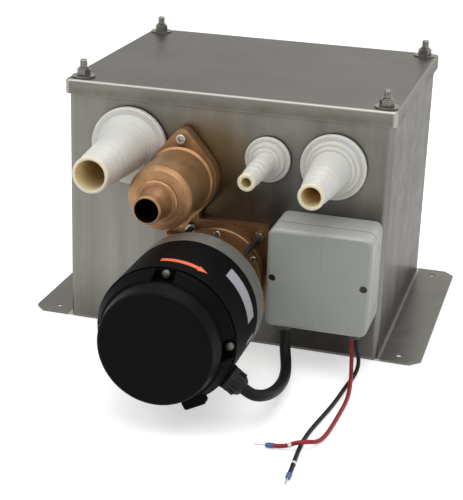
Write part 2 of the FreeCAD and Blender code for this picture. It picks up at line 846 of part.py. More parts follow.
def make_pump_body():
    """The bronze casting: a square plate, the round volute, and an arm that carries the
    discharge passage up to the face of the check valve."""
    body = on_pump("pump_body")
    plate = sketch_on(body, "XY_Plane", "pump_gasket")
    rectangle(plate, "-plate_half", "plate_half", "-plate_half", "plate_half")
    pad(body, plate, "plate_front - pump_gasket")
    rounded(body, corner_edge("plate_half", "plate_half"), "plate_corner")
    arm = sketch_on(body, "XY_Plane", "pump_gasket")
    rectangle(arm, "valve_dx - passage_width / 2 - 5", "valve_dx + passage_width / 2 + 5",
              "-12", "valve_dy")
    pad(body, arm, "valve_face - pump_gasket")
    valve_flange_pads(body, "pump_gasket", "valve_face - pump_gasket", "valve_dx", "valve_dy")
    horn = sketch_on(body, "XY_Plane", "pump_gasket")
    rectangle(horn, "valve_dx - horn_width / 2", "valve_dx + horn_width / 2", "-6", "horn_top")
    pad(body, horn, "horn_front - pump_gasket")
    rounded(body, lambda point: near(point.z, "horn_front"), "horn_round")
    turned(body, [
        ("0", "pump_gasket"), ("volute_waist_radius", "pump_gasket"),
        ("volute_waist_radius", "volute_front - volute_lip - 2"),
        ("volute_radius", "volute_front - volute_lip"), ("volute_radius", "volute_front - volute_chamfer"),
        ("volute_radius - volute_chamfer", "volute_front"), ("0", "volute_front"),
    ])
    chamber = sketch_on(body, "XY_Plane", "volute_front")
    pocket(body, circle(chamber, "0", "0", "chamber_radius"), "volute_front - chamber_floor")
    eye = sketch_on(body, "XY_Plane", "chamber_floor")
    pocket(body, circle(eye, "0", "0", "eye_radius"), "chamber_floor - pump_gasket")
    passage = sketch_on(body, "XY_Plane", "port_floor + passage_depth")
    rectangle(passage, "valve_dx - passage_width / 2", "valve_dx + passage_width / 2", "0", "valve_dy")
    pocket(body, passage, "passage_depth")
    throat = sketch_on(body, "XY_Plane", "horn_front - 3")
    rectangle(throat, "valve_dx - passage_width / 2 + 2", "valve_dx + passage_width / 2",
              "0", "horn_top - 4")
    pocket(body, throat, "horn_front - 3 - port_floor")
    port = sketch_on(body, "XY_Plane", "valve_face")
    pocket(body, circle(port, "valve_dx", "valve_dy", "port_radius"), "valve_face - port_floor")
    for depth, radius in (("fitting_gasket + left_inlet_flange + 1", "left_inlet_flange_radius"),
                          ("valve_face", "left_inlet_step_base")):
        relief = sketch_on(body, "XY_Plane", depth)
        circle(relief, "left_inlet_x - pump_x", "left_inlet_height - pump_height",
               f"{radius} + inlet_relief_gap")
        pocket(body, relief, f"{depth} - pump_gasket")
    screw_holes = sketch_on(body, "XY_Plane", "valve_face")
    for side in (1, -1):
        circle(screw_holes, "valve_dx", f"valve_dy + {side} * valve_screw_offset",
               "valve_screw_radius + thread_gap")
    pocket(body, screw_holes, "valve_face - pump_gasket - 1")
    rods = sketch_on(body, "XY_Plane", "volute_front")
    for x, y in all_corners("rod_offset", "rod_offset"):
        circle(rods, x, y, "rod_radius + rod_hole_gap")
    pocket(body, rods, "volute_front - pump_gasket")
    cover_screws = sketch_on(body, "XY_Plane", "volute_front")
    circle(cover_screws, "0", "cover_screw_circle", "cover_screw_radius + thread_gap")
    ring_of(body, [pocket(body, cover_screws, "cover_screw_length - cover_disc + 1")], 6)
    for side in (1, -1):
        ear_plane = f"valve_dx + {side} * (flap_tab_width / 2 + flap_ear_gap)"
        ear = sketch_on(body, "YZ_Plane", ear_plane)
        rectangle(ear, "valve_dy + flap_pin_rise - flap_ear_reach",
                  "valve_dy + flap_pin_rise + flap_ear_reach", "valve_face - 1", "flap_pin_place")
        pad(body, ear, "flap_ear_width", down=side < 0)
        ear_end = sketch_on(body, "YZ_Plane", ear_plane)
        circle(ear_end, "valve_dy + flap_pin_rise", "flap_pin_place", "flap_ear_reach")
        pad(body, ear_end, "flap_ear_width", down=side < 0)
    pin_hole = sketch_on(body, "YZ_Plane", "valve_dx + flap_pin_length / 2 + 1")
    circle(pin_hole, "valve_dy + flap_pin_rise", "flap_pin_place", "flap_pin_radius")
    pocket(body, pin_hole, "flap_pin_length + 2")
    return body


def make_pump_gasket():
    body = on_pump("pump_gasket")
    sketch = sketch_on(body, "XY_Plane")
    rectangle(sketch, "-plate_half", "plate_half", "-plate_half", "plate_half")
    circle(sketch, "0", "0", "eye_radius")
    for x, y in all_corners("rod_offset", "rod_offset"):
        circle(sketch, x, y, "rod_radius + rod_hole_gap")
    pad(body, sketch, "pump_gasket")
    rounded(body, corner_edge("plate_half", "plate_half"), "plate_corner")
    return body


def make_pump_cover():
    """The seal carrier between volute and motor, with two drain windows in its neck."""
    body = on_pump("pump_cover")
    turned(body, [
        ("shaft_seal_radius + 1.5", "volute_front - cover_spigot"),
        ("chamber_radius - cover_fit", "volute_front - cover_spigot"),
        ("chamber_radius - cover_fit", "volute_front"), ("volute_radius - volute_chamfer", "volute_front"),
        ("volute_radius - volute_chamfer", "cover_front"), ("neck_radius + 4", "cover_front"),
        ("neck_radius", "cover_front + 5"), ("neck_radius", "bell_rear - neck_flange - 5"),
        ("neck_radius + 4", "bell_rear - neck_flange"), ("neck_flange_radius", "bell_rear - neck_flange"),
        ("neck_flange_radius", "bell_rear"), ("neck_bore", "bell_rear"),
        ("neck_bore", "seal_rear + seal_length + 4"), ("seal_radius", "seal_rear + seal_length"),
        ("seal_radius", "seal_rear"), ("shaft_seal_radius + 1.5", "seal_rear"),
    ])
    window = sketch_on(body, "YZ_Plane", "neck_radius + 5")
    middle = "((seal_rear + seal_length + 4 + bell_rear - neck_flange) / 2)"
    rectangle(window, "-drain_width / 2", "drain_width / 2",
              f"{middle} - drain_length / 2", f"{middle} + drain_length / 2")
    pocket(body, window, "2 * neck_radius + 10")
    screws = sketch_on(body, "XY_Plane", "cover_front")
    circle(screws, "0", "cover_screw_circle", "cover_screw_radius + screw_play")
    ring_of(body, [pocket(body, screws, "cover_disc")], 6)
    fixing = sketch_on(body, "XY_Plane", "bell_rear")
    circle(fixing, "0", "neck_flange_radius - neck_screw_inset", "cover_screw_radius + screw_play")
    ring_of(body, [pocket(body, fixing, "neck_flange")], 4)
    return body


def cap_screw(label, place, along, shank, head, length, head_height, backwards=False, socket=False):
    """A screw whose head sits at the distance along, outside the clamped face."""
    sign = "-1" if backwards else "1"
    body = on_front(label, *place)
    turned(body, [
        ("0", f"{along} - {sign} * {length}"), (shank, f"{along} - {sign} * {length}"),
        (shank, along), (head, along), (head, f"{along} + {sign} * ({head_height} - 0.5)"),
        (f"{head} - 0.5", f"{along} + {sign} * {head_height}"), ("0", f"{along} + {sign} * {head_height}"),
    ])
    if socket:
        recess = sketch_on(body, "XY_Plane", f"{along} + {sign} * {head_height}")
        pocket(body, hexagon(recess, "0", "0", head), f"{head_height} / 2")
    return body


def round_places(x, z, circle_radius, count, first=90):
    """Places on a circle about an axis through x, z."""
    places = []
    for index in range(count):
        angle = first + 360 * index / count
        places.append((f"{x} + {circle_radius} * cos({angle})", f"{z} + {circle_radius} * sin({angle})"))
    return places


def make_pump_cover_screws():
    screws = []
    places = round_places("pump_x", "pump_height", "cover_screw_circle", 6)
    for number, place in enumerate(places, start=1):
        screws.append(cap_screw(f"pump_cover_screw_{number}", place, "cover_front",
                                "cover_screw_radius", "cover_screw_head", "cover_screw_length",
                                "cover_screw_head_height"))
    return group("pump_cover_screws", screws)


def make_neck_screws():
    screws = []
    places = round_places("pump_x", "pump_height", "(neck_flange_radius - neck_screw_inset)", 4)
    for number, place in enumerate(places, start=1):
        screws.append(cap_screw(f"neck_screw_{number}", place, "bell_rear - neck_flange",
                                "cover_screw_radius", "cover_screw_head",
                                "neck_flange + neck_screw_in_bell", "cover_screw_head_height",
                                backwards=True))
    return group("neck_screws", screws)


def make_shaft_seal():
    body = on_pump("shaft_seal")
    turned(body, [
        ("shaft_seal_radius + journal_gap", "seal_rear"), ("seal_radius", "seal_rear"),
        ("seal_radius", "seal_rear + seal_length"),
        ("seal_radius - 3", "seal_rear + seal_length"), ("seal_radius - 3", "seal_rear + 3"),
        ("shaft_seal_radius + 2.5", "seal_rear + 3"), ("shaft_seal_radius + 2.5", "seal_rear + 7"),
        ("shaft_seal_radius + journal_gap", "seal_rear + 7"),
    ])
    return body


def make_tie_rods():
    """Four rods that clamp elbow, wall and pump plate and carry the motor bell."""
    rods = []
    for number, (x, y) in enumerate(all_corners("rod_offset", "rod_offset"), start=1):
        rod = on_front(f"tie_rod_{number}", "pump_x + " + x, "pump_height + " + y)
        pad(rod, circle(sketch_on(rod, "XY_Plane", "rod_head_back"), "0", "0", "rod_radius"),
            "bell_rear + rod_in_bell - rod_head_back")
        head = hexagon(sketch_on(rod, "XY_Plane", "rod_head_back"), "0", "0", "rod_nut_flats")
        pad(rod, head, "rod_nut_height")
        rods.append(rod)
    return group("tie_rods", rods)


def make_rod_nuts():
    nuts = []
    for number, (x, y) in enumerate(all_corners("rod_offset", "rod_offset"), start=1):
        nuts.append(hex_nut(
            f"rod_nut_{number}", "pump_x + " + x, "front_wall - plate_front", "pump_height + " + y,
            FORWARDS, "rod_nut_flats", "rod_nut_height", "rod_radius + thread_gap"))
    return group("rod_nuts", nuts)


def make_suction_elbow():
    """The intake inside the tank: a square flange and a bend that opens near the floor."""
    body = on_pump("suction_elbow")
    flange = sketch_on(body, "XY_Plane", "elbow_back")
    rectangle(flange, "-plate_half", "plate_half", "-plate_half", "plate_half")
    pad(body, flange, "elbow_flange")
    rounded(body, corner_edge("plate_half", "plate_half"), "plate_corner")
    turn = "elbow_back - elbow_neck"
    drop = "pump_height - elbow_mouth_height"

    def elbow_path():
        path = body.newObject("Sketcher::SketchObject", "elbow_path")
        side = next(part for part in body.Origin.OriginFeatures if part.Role == "YZ_Plane")
        path.AttachmentSupport = [(side, "")]
        path.MapMode = "FlatFace"
        back = value("elbow_back + elbow_flange / 2")
        bend_start = value(turn)
        bend = value("elbow_bend")
        mouth = -value(drop)
        centre = Vector(-bend, bend_start, 0)
        path.addGeometry(Part.LineSegment(Vector(0, back, 0), Vector(0, bend_start, 0)), False)
        quarter = Part.ArcOfCircle(Part.Circle(centre, Vector(0, 0, 1), bend), -math.pi / 2, 0)
        path.addGeometry(quarter, False)
        path.addGeometry(Part.LineSegment(Vector(-bend, bend_start - bend, 0),
                                          Vector(mouth, bend_start - bend, 0)), False)
        path.addConstraint(Sketcher.Constraint("Coincident", 0, 2, 1, 2))
        path.addConstraint(Sketcher.Constraint("Coincident", 1, 1, 2, 1))
        hold(path, "DistanceX", 0, 1, "0")
        hold(path, "DistanceY", 0, 1, "elbow_back + elbow_flange / 2")
        hold(path, "DistanceX", 0, 2, "0")
        hold(path, "DistanceY", 0, 2, turn)
        hold(path, "DistanceX", 1, 3, "-elbow_bend")
        hold(path, "DistanceY", 1, 3, turn)
        hold(path, "DistanceX", 2, 1, "-elbow_bend")
        hold(path, "DistanceX", 2, 2, f"-({drop})")
        hold(path, "DistanceY", 2, 2, f"{turn} - elbow_bend")
        return path

    outer = circle(sketch_on(body, "XY_Plane", "elbow_back + elbow_flange / 2"), "0", "0", "elbow_radius")
    pipe = add(body, "AdditivePipe", outer)
    pipe.Spine = (elbow_path(), [])
    inner = circle(sketch_on(body, "XY_Plane", "elbow_back + elbow_flange"), "0", "0", "elbow_bore")
    pocket(body, inner, "elbow_flange / 2 + 0.01")
    bore = circle(sketch_on(body, "XY_Plane", "elbow_back + elbow_flange / 2"), "0", "0", "elbow_bore")
    hollow = add(body, "SubtractivePipe", bore)
    hollow.Spine = (elbow_path(), [])
    holes = sketch_on(body, "XY_Plane", "elbow_back + elbow_flange")
    for x, y in all_corners("rod_offset", "rod_offset"):
        circle(holes, x, y, "rod_radius + rod_hole_gap")
    pocket(body, holes, "elbow_flange")
    return body


# Check valve

def on_valve(label):
    return on_front(label, "valve_x", "valve_height")


def make_valve_cover():
    """The bronze cover of the check valve: a lugged flange, a stepped bell and a hose nozzle."""
    body = on_valve("valve_cover")
    valve_flange_pads(body, "valve_cover_rear", "valve_flange", "0", "0", "valve_cover_relief")
    land = "nozzle_reach - nozzle_land"
    turned(body, [
        ("0", "valve_cover_rear"), ("step_ring_radius", "valve_cover_rear"),
        ("step_ring_radius", "step_ring_front - step_ring_chamfer"),
        ("step_ring_radius - step_ring_chamfer", "step_ring_front"),
        ("dome_root_radius", "step_ring_front + 0.5"), ("dome_end_radius", "dome_end"),
        ("(dome_end_radius * 3 + dome_nose_radius) / 4 + 0.5", "dome_end + 3"),
        ("(dome_end_radius + dome_nose_radius) / 2 + 0.8", "dome_end + 5.5"),
        ("dome_nose_radius", "dome_nose"), ("collar_radius", "dome_nose + 0.8"),
        ("collar_radius", "collar_end - 1.2"), ("collar_radius - 1.2", "collar_end"),
        ("nozzle_root_radius", "collar_end + 0.8"), ("nozzle_tip_radius + 0.4", f"{land} - 1.5"),
        ("nozzle_tip_radius", land), ("nozzle_tip_radius", "nozzle_reach - 1"),
        ("nozzle_tip_radius - 1", "nozzle_reach"), ("0", "nozzle_reach"),
    ])
    turned_cut(body, [
        ("0", "valve_cover_rear"), ("dome_root_radius - dome_wall", "valve_cover_rear"),
        ("dome_end_radius - dome_wall", "dome_end - 4"), ("nozzle_bore", "dome_nose"),
        ("nozzle_bore", "nozzle_reach"), ("0", "nozzle_reach"),
    ])
    holes = sketch_on(body, "XY_Plane", "valve_flange_front")
    for side in (1, -1):
        circle(holes, "0", f"{side} * valve_screw_offset", "valve_screw_radius + valve_screw_play")
    pocket(body, holes, "valve_flange")
    return body


def make_valve_gasket():
    body = on_valve("valve_gasket")
    valve_flange_pads(body, "valve_face", "valve_gasket", "0", "0", "valve_gasket_relief")
    holes = sketch_on(body, "XY_Plane", "valve_cover_rear")
    circle(holes, "0", "0", "dome_root_radius - dome_wall")
    for side in (1, -1):
        circle(holes, "0", f"{side} * valve_screw_offset", "valve_screw_radius + valve_screw_play")
    pocket(body, holes, "valve_gasket")
    return body


def make_valve_screws():
    screws = []
    for number, side in enumerate((1, -1), start=1):
        place = ("valve_x", f"valve_height + {side} * valve_screw_offset")
        screws.append(cap_screw(f"valve_screw_{number}", place, "valve_flange_front",
                                "valve_screw_radius", "valve_screw_head", "valve_screw_grip",
                                "valve_screw_head_height", socket=True))
    return group("valve_screws", screws)


def make_flap_pin():
    body = on_valve("flap_pin")
    sketch = sketch_on(body, "YZ_Plane", "-flap_pin_length / 2")
    pad(body, circle(sketch, "flap_pin_rise", "flap_pin_place", "flap_pin_radius"), "flap_pin_length")
    return body


def make_valve_flap():
    """The flap hangs from its pin and lies on the port, a little heavier in front."""
    body = on_valve("valve_flap")
    turned(body, [
        ("0", "flap_rear"), ("flap_radius - 0.5", "flap_rear"), ("flap_radius", "flap_rear + 0.5"),
        ("flap_radius", "flap_rear + flap_disc"), ("flap_weight_radius", "flap_rear + flap_disc"),
        ("flap_weight_radius - 1", "flap_rear + flap_disc + flap_weight"),
        ("0", "flap_rear + flap_disc + flap_weight"),
    ])
    tab = sketch_on(body, "YZ_Plane", "-flap_tab_width / 2")
    knuckle = "(flap_pin_front - flap_gap)"
    outline(tab, [
        ("flap_weight_radius", "flap_rear"), ("flap_pin_rise", "flap_rear"),
        ("flap_pin_rise", f"flap_pin_place + {knuckle}"), ("flap_weight_radius", "flap_rear + flap_disc"),
    ])
    pad(body, tab, "flap_tab_width")
    barrel = sketch_on(body, "YZ_Plane", "-flap_tab_width / 2")
    pad(body, circle(barrel, "flap_pin_rise", "flap_pin_place", knuckle), "flap_tab_width")
    hole = sketch_on(body, "YZ_Plane", "flap_tab_width / 2")
    pocket(body, circle(hole, "flap_pin_rise", "flap_pin_place", "flap_pin_radius + journal_gap"),
           "flap_tab_width")
    return body


# Motor

def make_motor_bell():
    body = on_pump("motor_bell")
    seat = "bearing_radius + bearing_seat_wall"
    inner = "drive_bearing_rear + bearing_width + 1"
    turned(body, [
        ("shaft_radius + 1", "bell_rear"), ("motor_radius - 2", "bell_rear"),
        ("motor_radius", "bell_rear + 2"), ("motor_radius", "bell_front"),
        ("tube_bore - spigot_fit", "bell_front"), ("tube_bore - spigot_fit", "bell_front + spigot"),
        ("tube_bore - 4", "bell_front + spigot"), ("tube_bore - 4", "drive_bearing_rear + 8"),
        (seat, "drive_bearing_rear + 3"), (seat, inner), ("bearing_radius", inner),
        ("bearing_radius", "drive_bearing_rear"), ("shaft_radius + 1", "drive_bearing_rear"),
    ])
    for x, y in all_corners("rod_offset", "rod_offset"):
        boss = circle(sketch_on(body, "XY_Plane", "bell_rear + 1"), x, y, "rod_radius + 3")
        pad(body, boss, "rod_in_bell + 2")
    rods = sketch_on(body, "XY_Plane", "bell_rear")
    for x, y in all_corners("rod_offset", "rod_offset"):
        circle(rods, x, y, "rod_radius + thread_gap")
    hole = pocket(body, rods, "rod_in_bell")
    hole.Reversed = True
    fixing = sketch_on(body, "XY_Plane", "bell_rear")
    circle(fixing, "0", "neck_flange_radius - neck_screw_inset", "cover_screw_radius + thread_gap")
    tapped = pocket(body, fixing, "bell_wall + neck_screw_in_bell")
    tapped.Reversed = True
    ring_of(body, [tapped], 4)
    bolts = sketch_on(body, "XY_Plane", "bell_front + spigot")
    circle(bolts, "0", "through_bolt_circle", "through_bolt_radius + thread_gap")
    ring_of(body, [pocket(body, bolts, "spigot + bell_front - bell_rear - 6")], 4)
    return body


def make_motor_housing():
    """The steel motor tube with a flat seat for the cable gland."""
    body = on_pump("motor_housing")
    tube = sketch_on(body, "XY_Plane", "bell_front")
    pad(body, circle(tube, "0", "0", "motor_radius"), "tube_front - bell_front")
    boss = sketch_on(body, "YZ_Plane")
    boss.AttachmentOffset = Placement(Vector(), Rotation(Vector(0, 1, 0), value("-gland_angle")))
    boss.setExpression(".AttachmentOffset.Rotation.Angle", bound("-gland_angle"))
    circle(boss, "0", "gland_along", "gland_boss_radius")
    pad(body, boss, "motor_radius + gland_boss_rise")
    bore = sketch_on(body, "XY_Plane", "tube_front")
    pocket(body, circle(bore, "0", "0", "tube_bore"), "tube_front - bell_front")
    inlet = sketch_on(body, "YZ_Plane", "motor_radius + gland_boss_rise")
    inlet.AttachmentOffset = Placement(Vector(), Rotation(Vector(0, 1, 0), value("-gland_angle")))
    inlet.setExpression(".AttachmentOffset.Base.z", "0")
    inlet.setExpression(".AttachmentOffset.Rotation.Angle", bound("-gland_angle"))
    cut = pocket(body, circle(inlet, "0", "gland_along", "gland_mouth_radius"), "motor_radius + 5")
    cut.Reversed = True
    return body


def make_field_magnets():
    """Four curved magnets on the inside of the motor tube, clear of the through bolts."""
    magnets = []
    inner = "(tube_bore - magnet_thickness)"
    for number in range(4):
        body = on_pump(f"field_magnet_{number + 1}")
        sketch = sketch_on(body, "XY_Plane", "magnet_start")
        start = f"({45 + 90 * number} - magnet_angle / 2)"
        end = f"({45 + 90 * number} + magnet_angle / 2)"
        corners = (("tube_bore", start), ("tube_bore", end), (inner, end), (inner, start))
        points = [(f"{radius} * cos({angle})", f"{radius} * sin({angle})") for radius, angle in corners]
        spread = [math.radians(value(angle)) for angle in (start, end)]
        for radius in ("tube_bore", inner):
            whole = Part.Circle(Vector(), Vector(0, 0, 1), value(radius))
            sketch.addGeometry(Part.ArcOfCircle(whole, *spread), False)
        for first, second in ((1, 2), (3, 0)):
            ends = [Vector(value(x), value(y), 0) for x, y in (points[first], points[second])]
            sketch.addGeometry(Part.LineSegment(*ends), False)
        for pair in ((0, 2, 2, 1), (2, 2, 1, 2), (1, 1, 3, 1), (3, 2, 0, 1)):
            sketch.addConstraint(Sketcher.Constraint("Coincident", *pair))
        for geometry, end_point, (x, y) in ((0, 1, points[0]), (0, 2, points[1]),
                                            (1, 2, points[2]), (1, 1, points[3])):
            hold(sketch, "DistanceX", geometry, end_point, x)
            hold(sketch, "DistanceY", geometry, end_point, y)
        hold(sketch, "Radius", 0, "tube_bore")
        hold(sketch, "Radius", 1, inner)
        pad(body, sketch, "magnet_end - magnet_start")
        magnets.append(body)
    return group("field_magnets", magnets)


def make_motor_end_shield():
    """The brush-end shield: shallow bays with a deep recess for each through-bolt head, and one
    lug on the rim."""
    body = on_pump("motor_end_shield")
    seat = "bearing_radius + bearing_seat_wall"
    turned(body, [
        ("tube_bore - shield_wall", "tube_front - spigot"), ("tube_bore - spigot_fit", "tube_front - spigot"),
        ("tube_bore - spigot_fit", "tube_front"), ("shield_radius", "tube_front"),
        ("shield_radius", "tube_front + shield_rim"),
        ("shield_radius - 1.5", "tube_front + shield_rim + 2.5"),
        ("cap_root_radius + 2", "shield_front - 1.5"), ("cap_root_radius", "shield_front"),
        ("bearing_radius - 3", "shield_front"), ("bearing_radius - 3", "shield_front - 1"),
        ("bearing_radius", "shield_front - 1"), ("bearing_radius", "rear_bearing_rear - 0.5"),
        (seat, "rear_bearing_rear - 0.5"), (seat, "shield_front - shield_floor"),
        ("tube_bore - shield_wall", "shield_front - shield_floor"),
    ])
    lug = sketch_on(body, "XY_Plane", "shield_lug_start")
    lug.AttachmentOffset = Placement(Vector(), Rotation(Vector(0, 0, 1), value("shield_lug_angle")))
    lug.setExpression(".AttachmentOffset.Rotation.Angle", bound("shield_lug_angle"))
    rectangle(lug, "tube_bore - 2", "shield_lug_reach", "-shield_lug_width / 2", "shield_lug_width / 2")
    pad(body, lug, "shield_lug_end - shield_lug_start")
    rounded(body, lambda point: math.hypot(point.x, point.y) > value("shield_lug_reach") - 0.5
            and abs(point.z - value("(shield_lug_start + shield_lug_end) / 2")) < 6,
            "shield_lug_corner")
    bay = sketch_on(body, "XY_Plane", "shield_front")
    circle(bay, "0", "cap_root_radius + shield_bay_radius - 0.5", "shield_bay_radius")
    ring_of(body, [pocket(body, bay, "shield_bay_depth")], 4)
    recess = sketch_on(body, "XY_Plane", "shield_front")
    rectangle(recess, "-shield_recess_width / 2", "shield_recess_width / 2",
              "through_bolt_circle - through_bolt_head - head_gap", "motor_radius + 2")
    notch = pocket(body, recess, "shield_front - tube_front - shield_seat")
    ring_of(body, [notch], 4)
    bolts = sketch_on(body, "XY_Plane", "tube_front + shield_rim + 2")
    circle(bolts, "0", "through_bolt_circle", "through_bolt_radius + screw_play")
    ring_of(body, [pocket(body, bolts, "shield_rim + spigot + 3")], 4)
    return body


def make_motor_cap():
    body = on_pump("motor_cap")
    turned(body, [
        ("0", "cap_front - cap_wall"), ("cap_tip_radius - cap_wall", "cap_front - cap_wall"),
        ("cap_root_radius - cap_wall", "shield_front"), ("cap_root_radius - 0.5", "shield_front"),
        ("cap_tip_radius", "cap_front"), ("0", "cap_front"),
    ])
    rounded(body, lambda point: near(point.z, "cap_front"), "cap_edge_radius")
    return body


def make_motor_bolts():
    bolts = []
    places = round_places("pump_x", "pump_height", "through_bolt_circle", 4)
    for number, place in enumerate(places, start=1):
        bolt = on_front(f"motor_bolt_{number}", *place)
        head = "(tube_front + shield_seat)"
        turned(bolt, [
            ("0", "bell_rear + 8"), ("through_bolt_radius", "bell_rear + 8"),
            ("through_bolt_radius", head), ("through_bolt_head", head),
            ("through_bolt_head - 0.4", f"{head} + through_bolt_head_height * 0.5"),
            ("through_bolt_head * 0.7", f"{head} + through_bolt_head_height * 0.85"),
            ("0", f"{head} + through_bolt_head_height"),
        ])
        bolts.append(bolt)
    return group("motor_bolts", bolts)


def make_motor_bearings():
    bearings = []
    for number, rear in enumerate(("drive_bearing_rear", "rear_bearing_rear"), start=1):
        bearing = on_pump(f"motor_bearing_{number}")
        front = f"{rear} + bearing_width"
        track = "((bearing_radius + shaft_radius) / 2)"
        turned(bearing, [
            ("shaft_radius + journal_gap", rear), (f"{track} - 2", rear), (f"{track} - 2", f"{rear} + 1"),
            (f"{track} + 2", f"{rear} + 1"), (f"{track} + 2", rear), ("bearing_radius", rear),
            ("bearing_radius", front), (f"{track} + 2", front), (f"{track} + 2", f"{front} - 1"),
            (f"{track} - 2", f"{front} - 1"), (f"{track} - 2", front), ("shaft_radius + journal_gap", front),
        ])
        bearings.append(bearing)
    return group("motor_bearings", bearings)


def make_brush_ring():
    body = on_pump("brush_ring")
    sketch = circle(sketch_on(body, "XY_Plane", "brush_ring_front"), "0", "0", "brush_ring_radius")
    circle(sketch, "0", "0", "brush_ring_hole")
    pad(body, sketch, "brush_ring_thickness", down=True)
    box_low = "(brush_ring_front - brush_ring_thickness - brush_height - 2 * brush_box_wall)"
    for side in (1, -1):
        holder = sketch_on(body, "XY_Plane", box_low)
        rectangle(holder, "-brush_width / 2 - brush_box_wall", "brush_width / 2 + brush_box_wall",
                  f"{side} * brush_ring_hole", f"{side} * (brush_ring_radius - 6)")
        pad(body, holder, "brush_height + 2 * brush_box_wall + 0.5")
    slot = sketch_on(body, "XZ_Plane", "brush_ring_radius")
    gap = "journal_gap"
    rectangle(slot, f"-brush_width / 2 - {gap}", f"brush_width / 2 + {gap}",
              f"{box_low} + brush_box_wall - {gap}", f"{box_low} + brush_box_wall + brush_height + {gap}")
    pocket(body, slot, "2 * brush_ring_radius")
    return body


def make_brushes():
    brushes = []
    bottom = "brush_ring_front - brush_ring_thickness - brush_height - brush_box_wall"
    for number, side in enumerate((1, -1), start=1):
        body = on_pump(f"brush_{number}")
        sketch = sketch_on(body, "XY_Plane", bottom)
        near_end = f"{side} * (commutator_radius + 0.1)"
        far_end = f"{side} * (commutator_radius + 0.1 + brush_length)"
        rectangle(sketch, "-brush_width / 2", "brush_width / 2", near_end, far_end)
        pad(body, sketch, "brush_height")
        brushes.append(body)
    return group("brushes", brushes)


def make_motor_gland():
    """The cable gland: a hexagon on the seat and a ribbed dome nut, turned about the cable."""
    body = new_body("motor_gland", "pump_x", "front_wall - gland_along", "pump_height")
    body.Placement = Placement(body.Placement.Base, Rotation(Vector(0, 1, 0), 90 + value("gland_angle")))
    body.setExpression(".Placement.Rotation.Angle", bound("90 + gland_angle"))
    seat = "(motor_radius + gland_boss_rise)"
    hex_top = f"({seat} + gland_hex)"
    dome_top = f"({hex_top} + gland_dome)"
    pad(body, hexagon(sketch_on(body, "XY_Plane", seat), "0", "0", "gland_hex_flats"), "gland_hex")
    turned(body, [
        ("0", f"{seat} - 6"), ("gland_mouth_radius", f"{seat} - 6"), ("gland_mouth_radius", seat),
        ("gland_dome_radius", seat), ("gland_dome_radius", f"{hex_top} + gland_dome * 0.45"),
        ("gland_dome_radius * 0.94", f"{hex_top} + gland_dome * 0.65"),
        ("gland_dome_radius * 0.8", f"{hex_top} + gland_dome * 0.85"),
        ("gland_mouth_radius", dome_top), ("0", dome_top),
    ])
    rib = sketch_on(body, "XY_Plane", hex_top)
    rectangle(rib, "gland_dome_radius - 2", "gland_dome_radius + gland_rib * 0.7", "-1", "1")
    ring_of(body, [pad(body, rib, "gland_dome * 0.6")], 12)
    bore = circle(sketch_on(body, "XY_Plane", dome_top), "0", "0", "cable_radius")
    pocket(body, bore, "gland_dome + gland_hex + 6")
    return body


# Rotor

def make_motor_shaft():
    body = on_pump("motor_shaft")
    turned(body, [
        ("0", "impeller_rear"), ("shaft_seal_radius", "impeller_rear"),
        ("shaft_seal_radius", "seal_rear + seal_length + 6"), ("shaft_radius", "seal_rear + seal_length + 8"),
        ("shaft_radius", "rear_bearing_rear + bearing_width - 0.5"),
        ("0", "rear_bearing_rear + bearing_width - 0.5"),
    ])
    return body


def make_impeller():
    """A semi-open impeller with six swept vanes."""
    body = on_pump("impeller")
    turned(body, [
        ("0", "impeller_rear"), ("impeller_hub - 2", "impeller_rear"), ("impeller_hub", "impeller_rear + 5"),
        ("impeller_hub", "impeller_front - impeller_shroud"),
        ("impeller_radius", "impeller_front - impeller_shroud"),
        ("impeller_radius", "impeller_front"), ("0", "impeller_front"),
    ])
    vane = sketch_on(body, "XY_Plane", "impeller_front")
    inner_reach = "(impeller_hub - 2)"
    half = "(vane_thickness / 2)"
    tip_x = "(impeller_radius - 0.5) * cos(vane_sweep)"
    tip_y = "(-(impeller_radius - 0.5) * sin(vane_sweep))"
    corners = [
        (inner_reach, f"-{half}"), (tip_x + " - vane_thickness * 0.8", tip_y),
        (tip_x, tip_y + " + vane_thickness * 0.8"), (inner_reach, half),
    ]
    points = [Vector(value(x), value(y), 0) for x, y in corners]

    def bowed(start, end, radius):
        """The arc between two points that bulges to the right of the run."""
        run = end - start
        middle = (start + end) / 2
        normal = Vector(-run.y, run.x, 0).normalize()
        depth = math.sqrt(radius ** 2 - run.Length ** 2 / 4)
        centre = middle - normal * depth
        angles = [math.atan2(point.y - centre.y, point.x - centre.x) for point in (end, start)]
        return Part.ArcOfCircle(Part.Circle(centre, Vector(0, 0, 1), radius), *angles)

    curve = value("vane_curve")
    vane.addGeometry(bowed(points[0], points[1], curve), False)
    vane.addGeometry(Part.LineSegment(points[1], points[2]), False)
    vane.addGeometry(bowed(points[3], points[2], curve + value("vane_thickness")), False)
    vane.addGeometry(Part.LineSegment(points[3], points[0]), False)
    for pair in ((0, 1, 1, 1), (1, 2, 2, 1), (2, 2, 3, 1), (3, 2, 0, 2)):
        vane.addConstraint(Sketcher.Constraint("Coincident", *pair))
    for geometry, end_point, (x, y) in ((0, 2, corners[0]), (0, 1, corners[1]),
                                        (2, 1, corners[2]), (2, 2, corners[3])):
        hold(vane, "DistanceX", geometry, end_point, x)
        hold(vane, "DistanceY", geometry, end_point, y)
    hold(vane, "Radius", 0, "vane_curve")
    hold(vane, "Radius", 2, "vane_curve + vane_thickness")
    blade = pad(body, vane, "impeller_front - impeller_rear - 1", down=True)
    ring_of(body, [blade], 6)
    bore = circle(sketch_on(body, "XY_Plane", "impeller_front"), "0", "0", "shaft_seal_radius")
    pocket(body, bore, "impeller_front - impeller_rear")
    return body


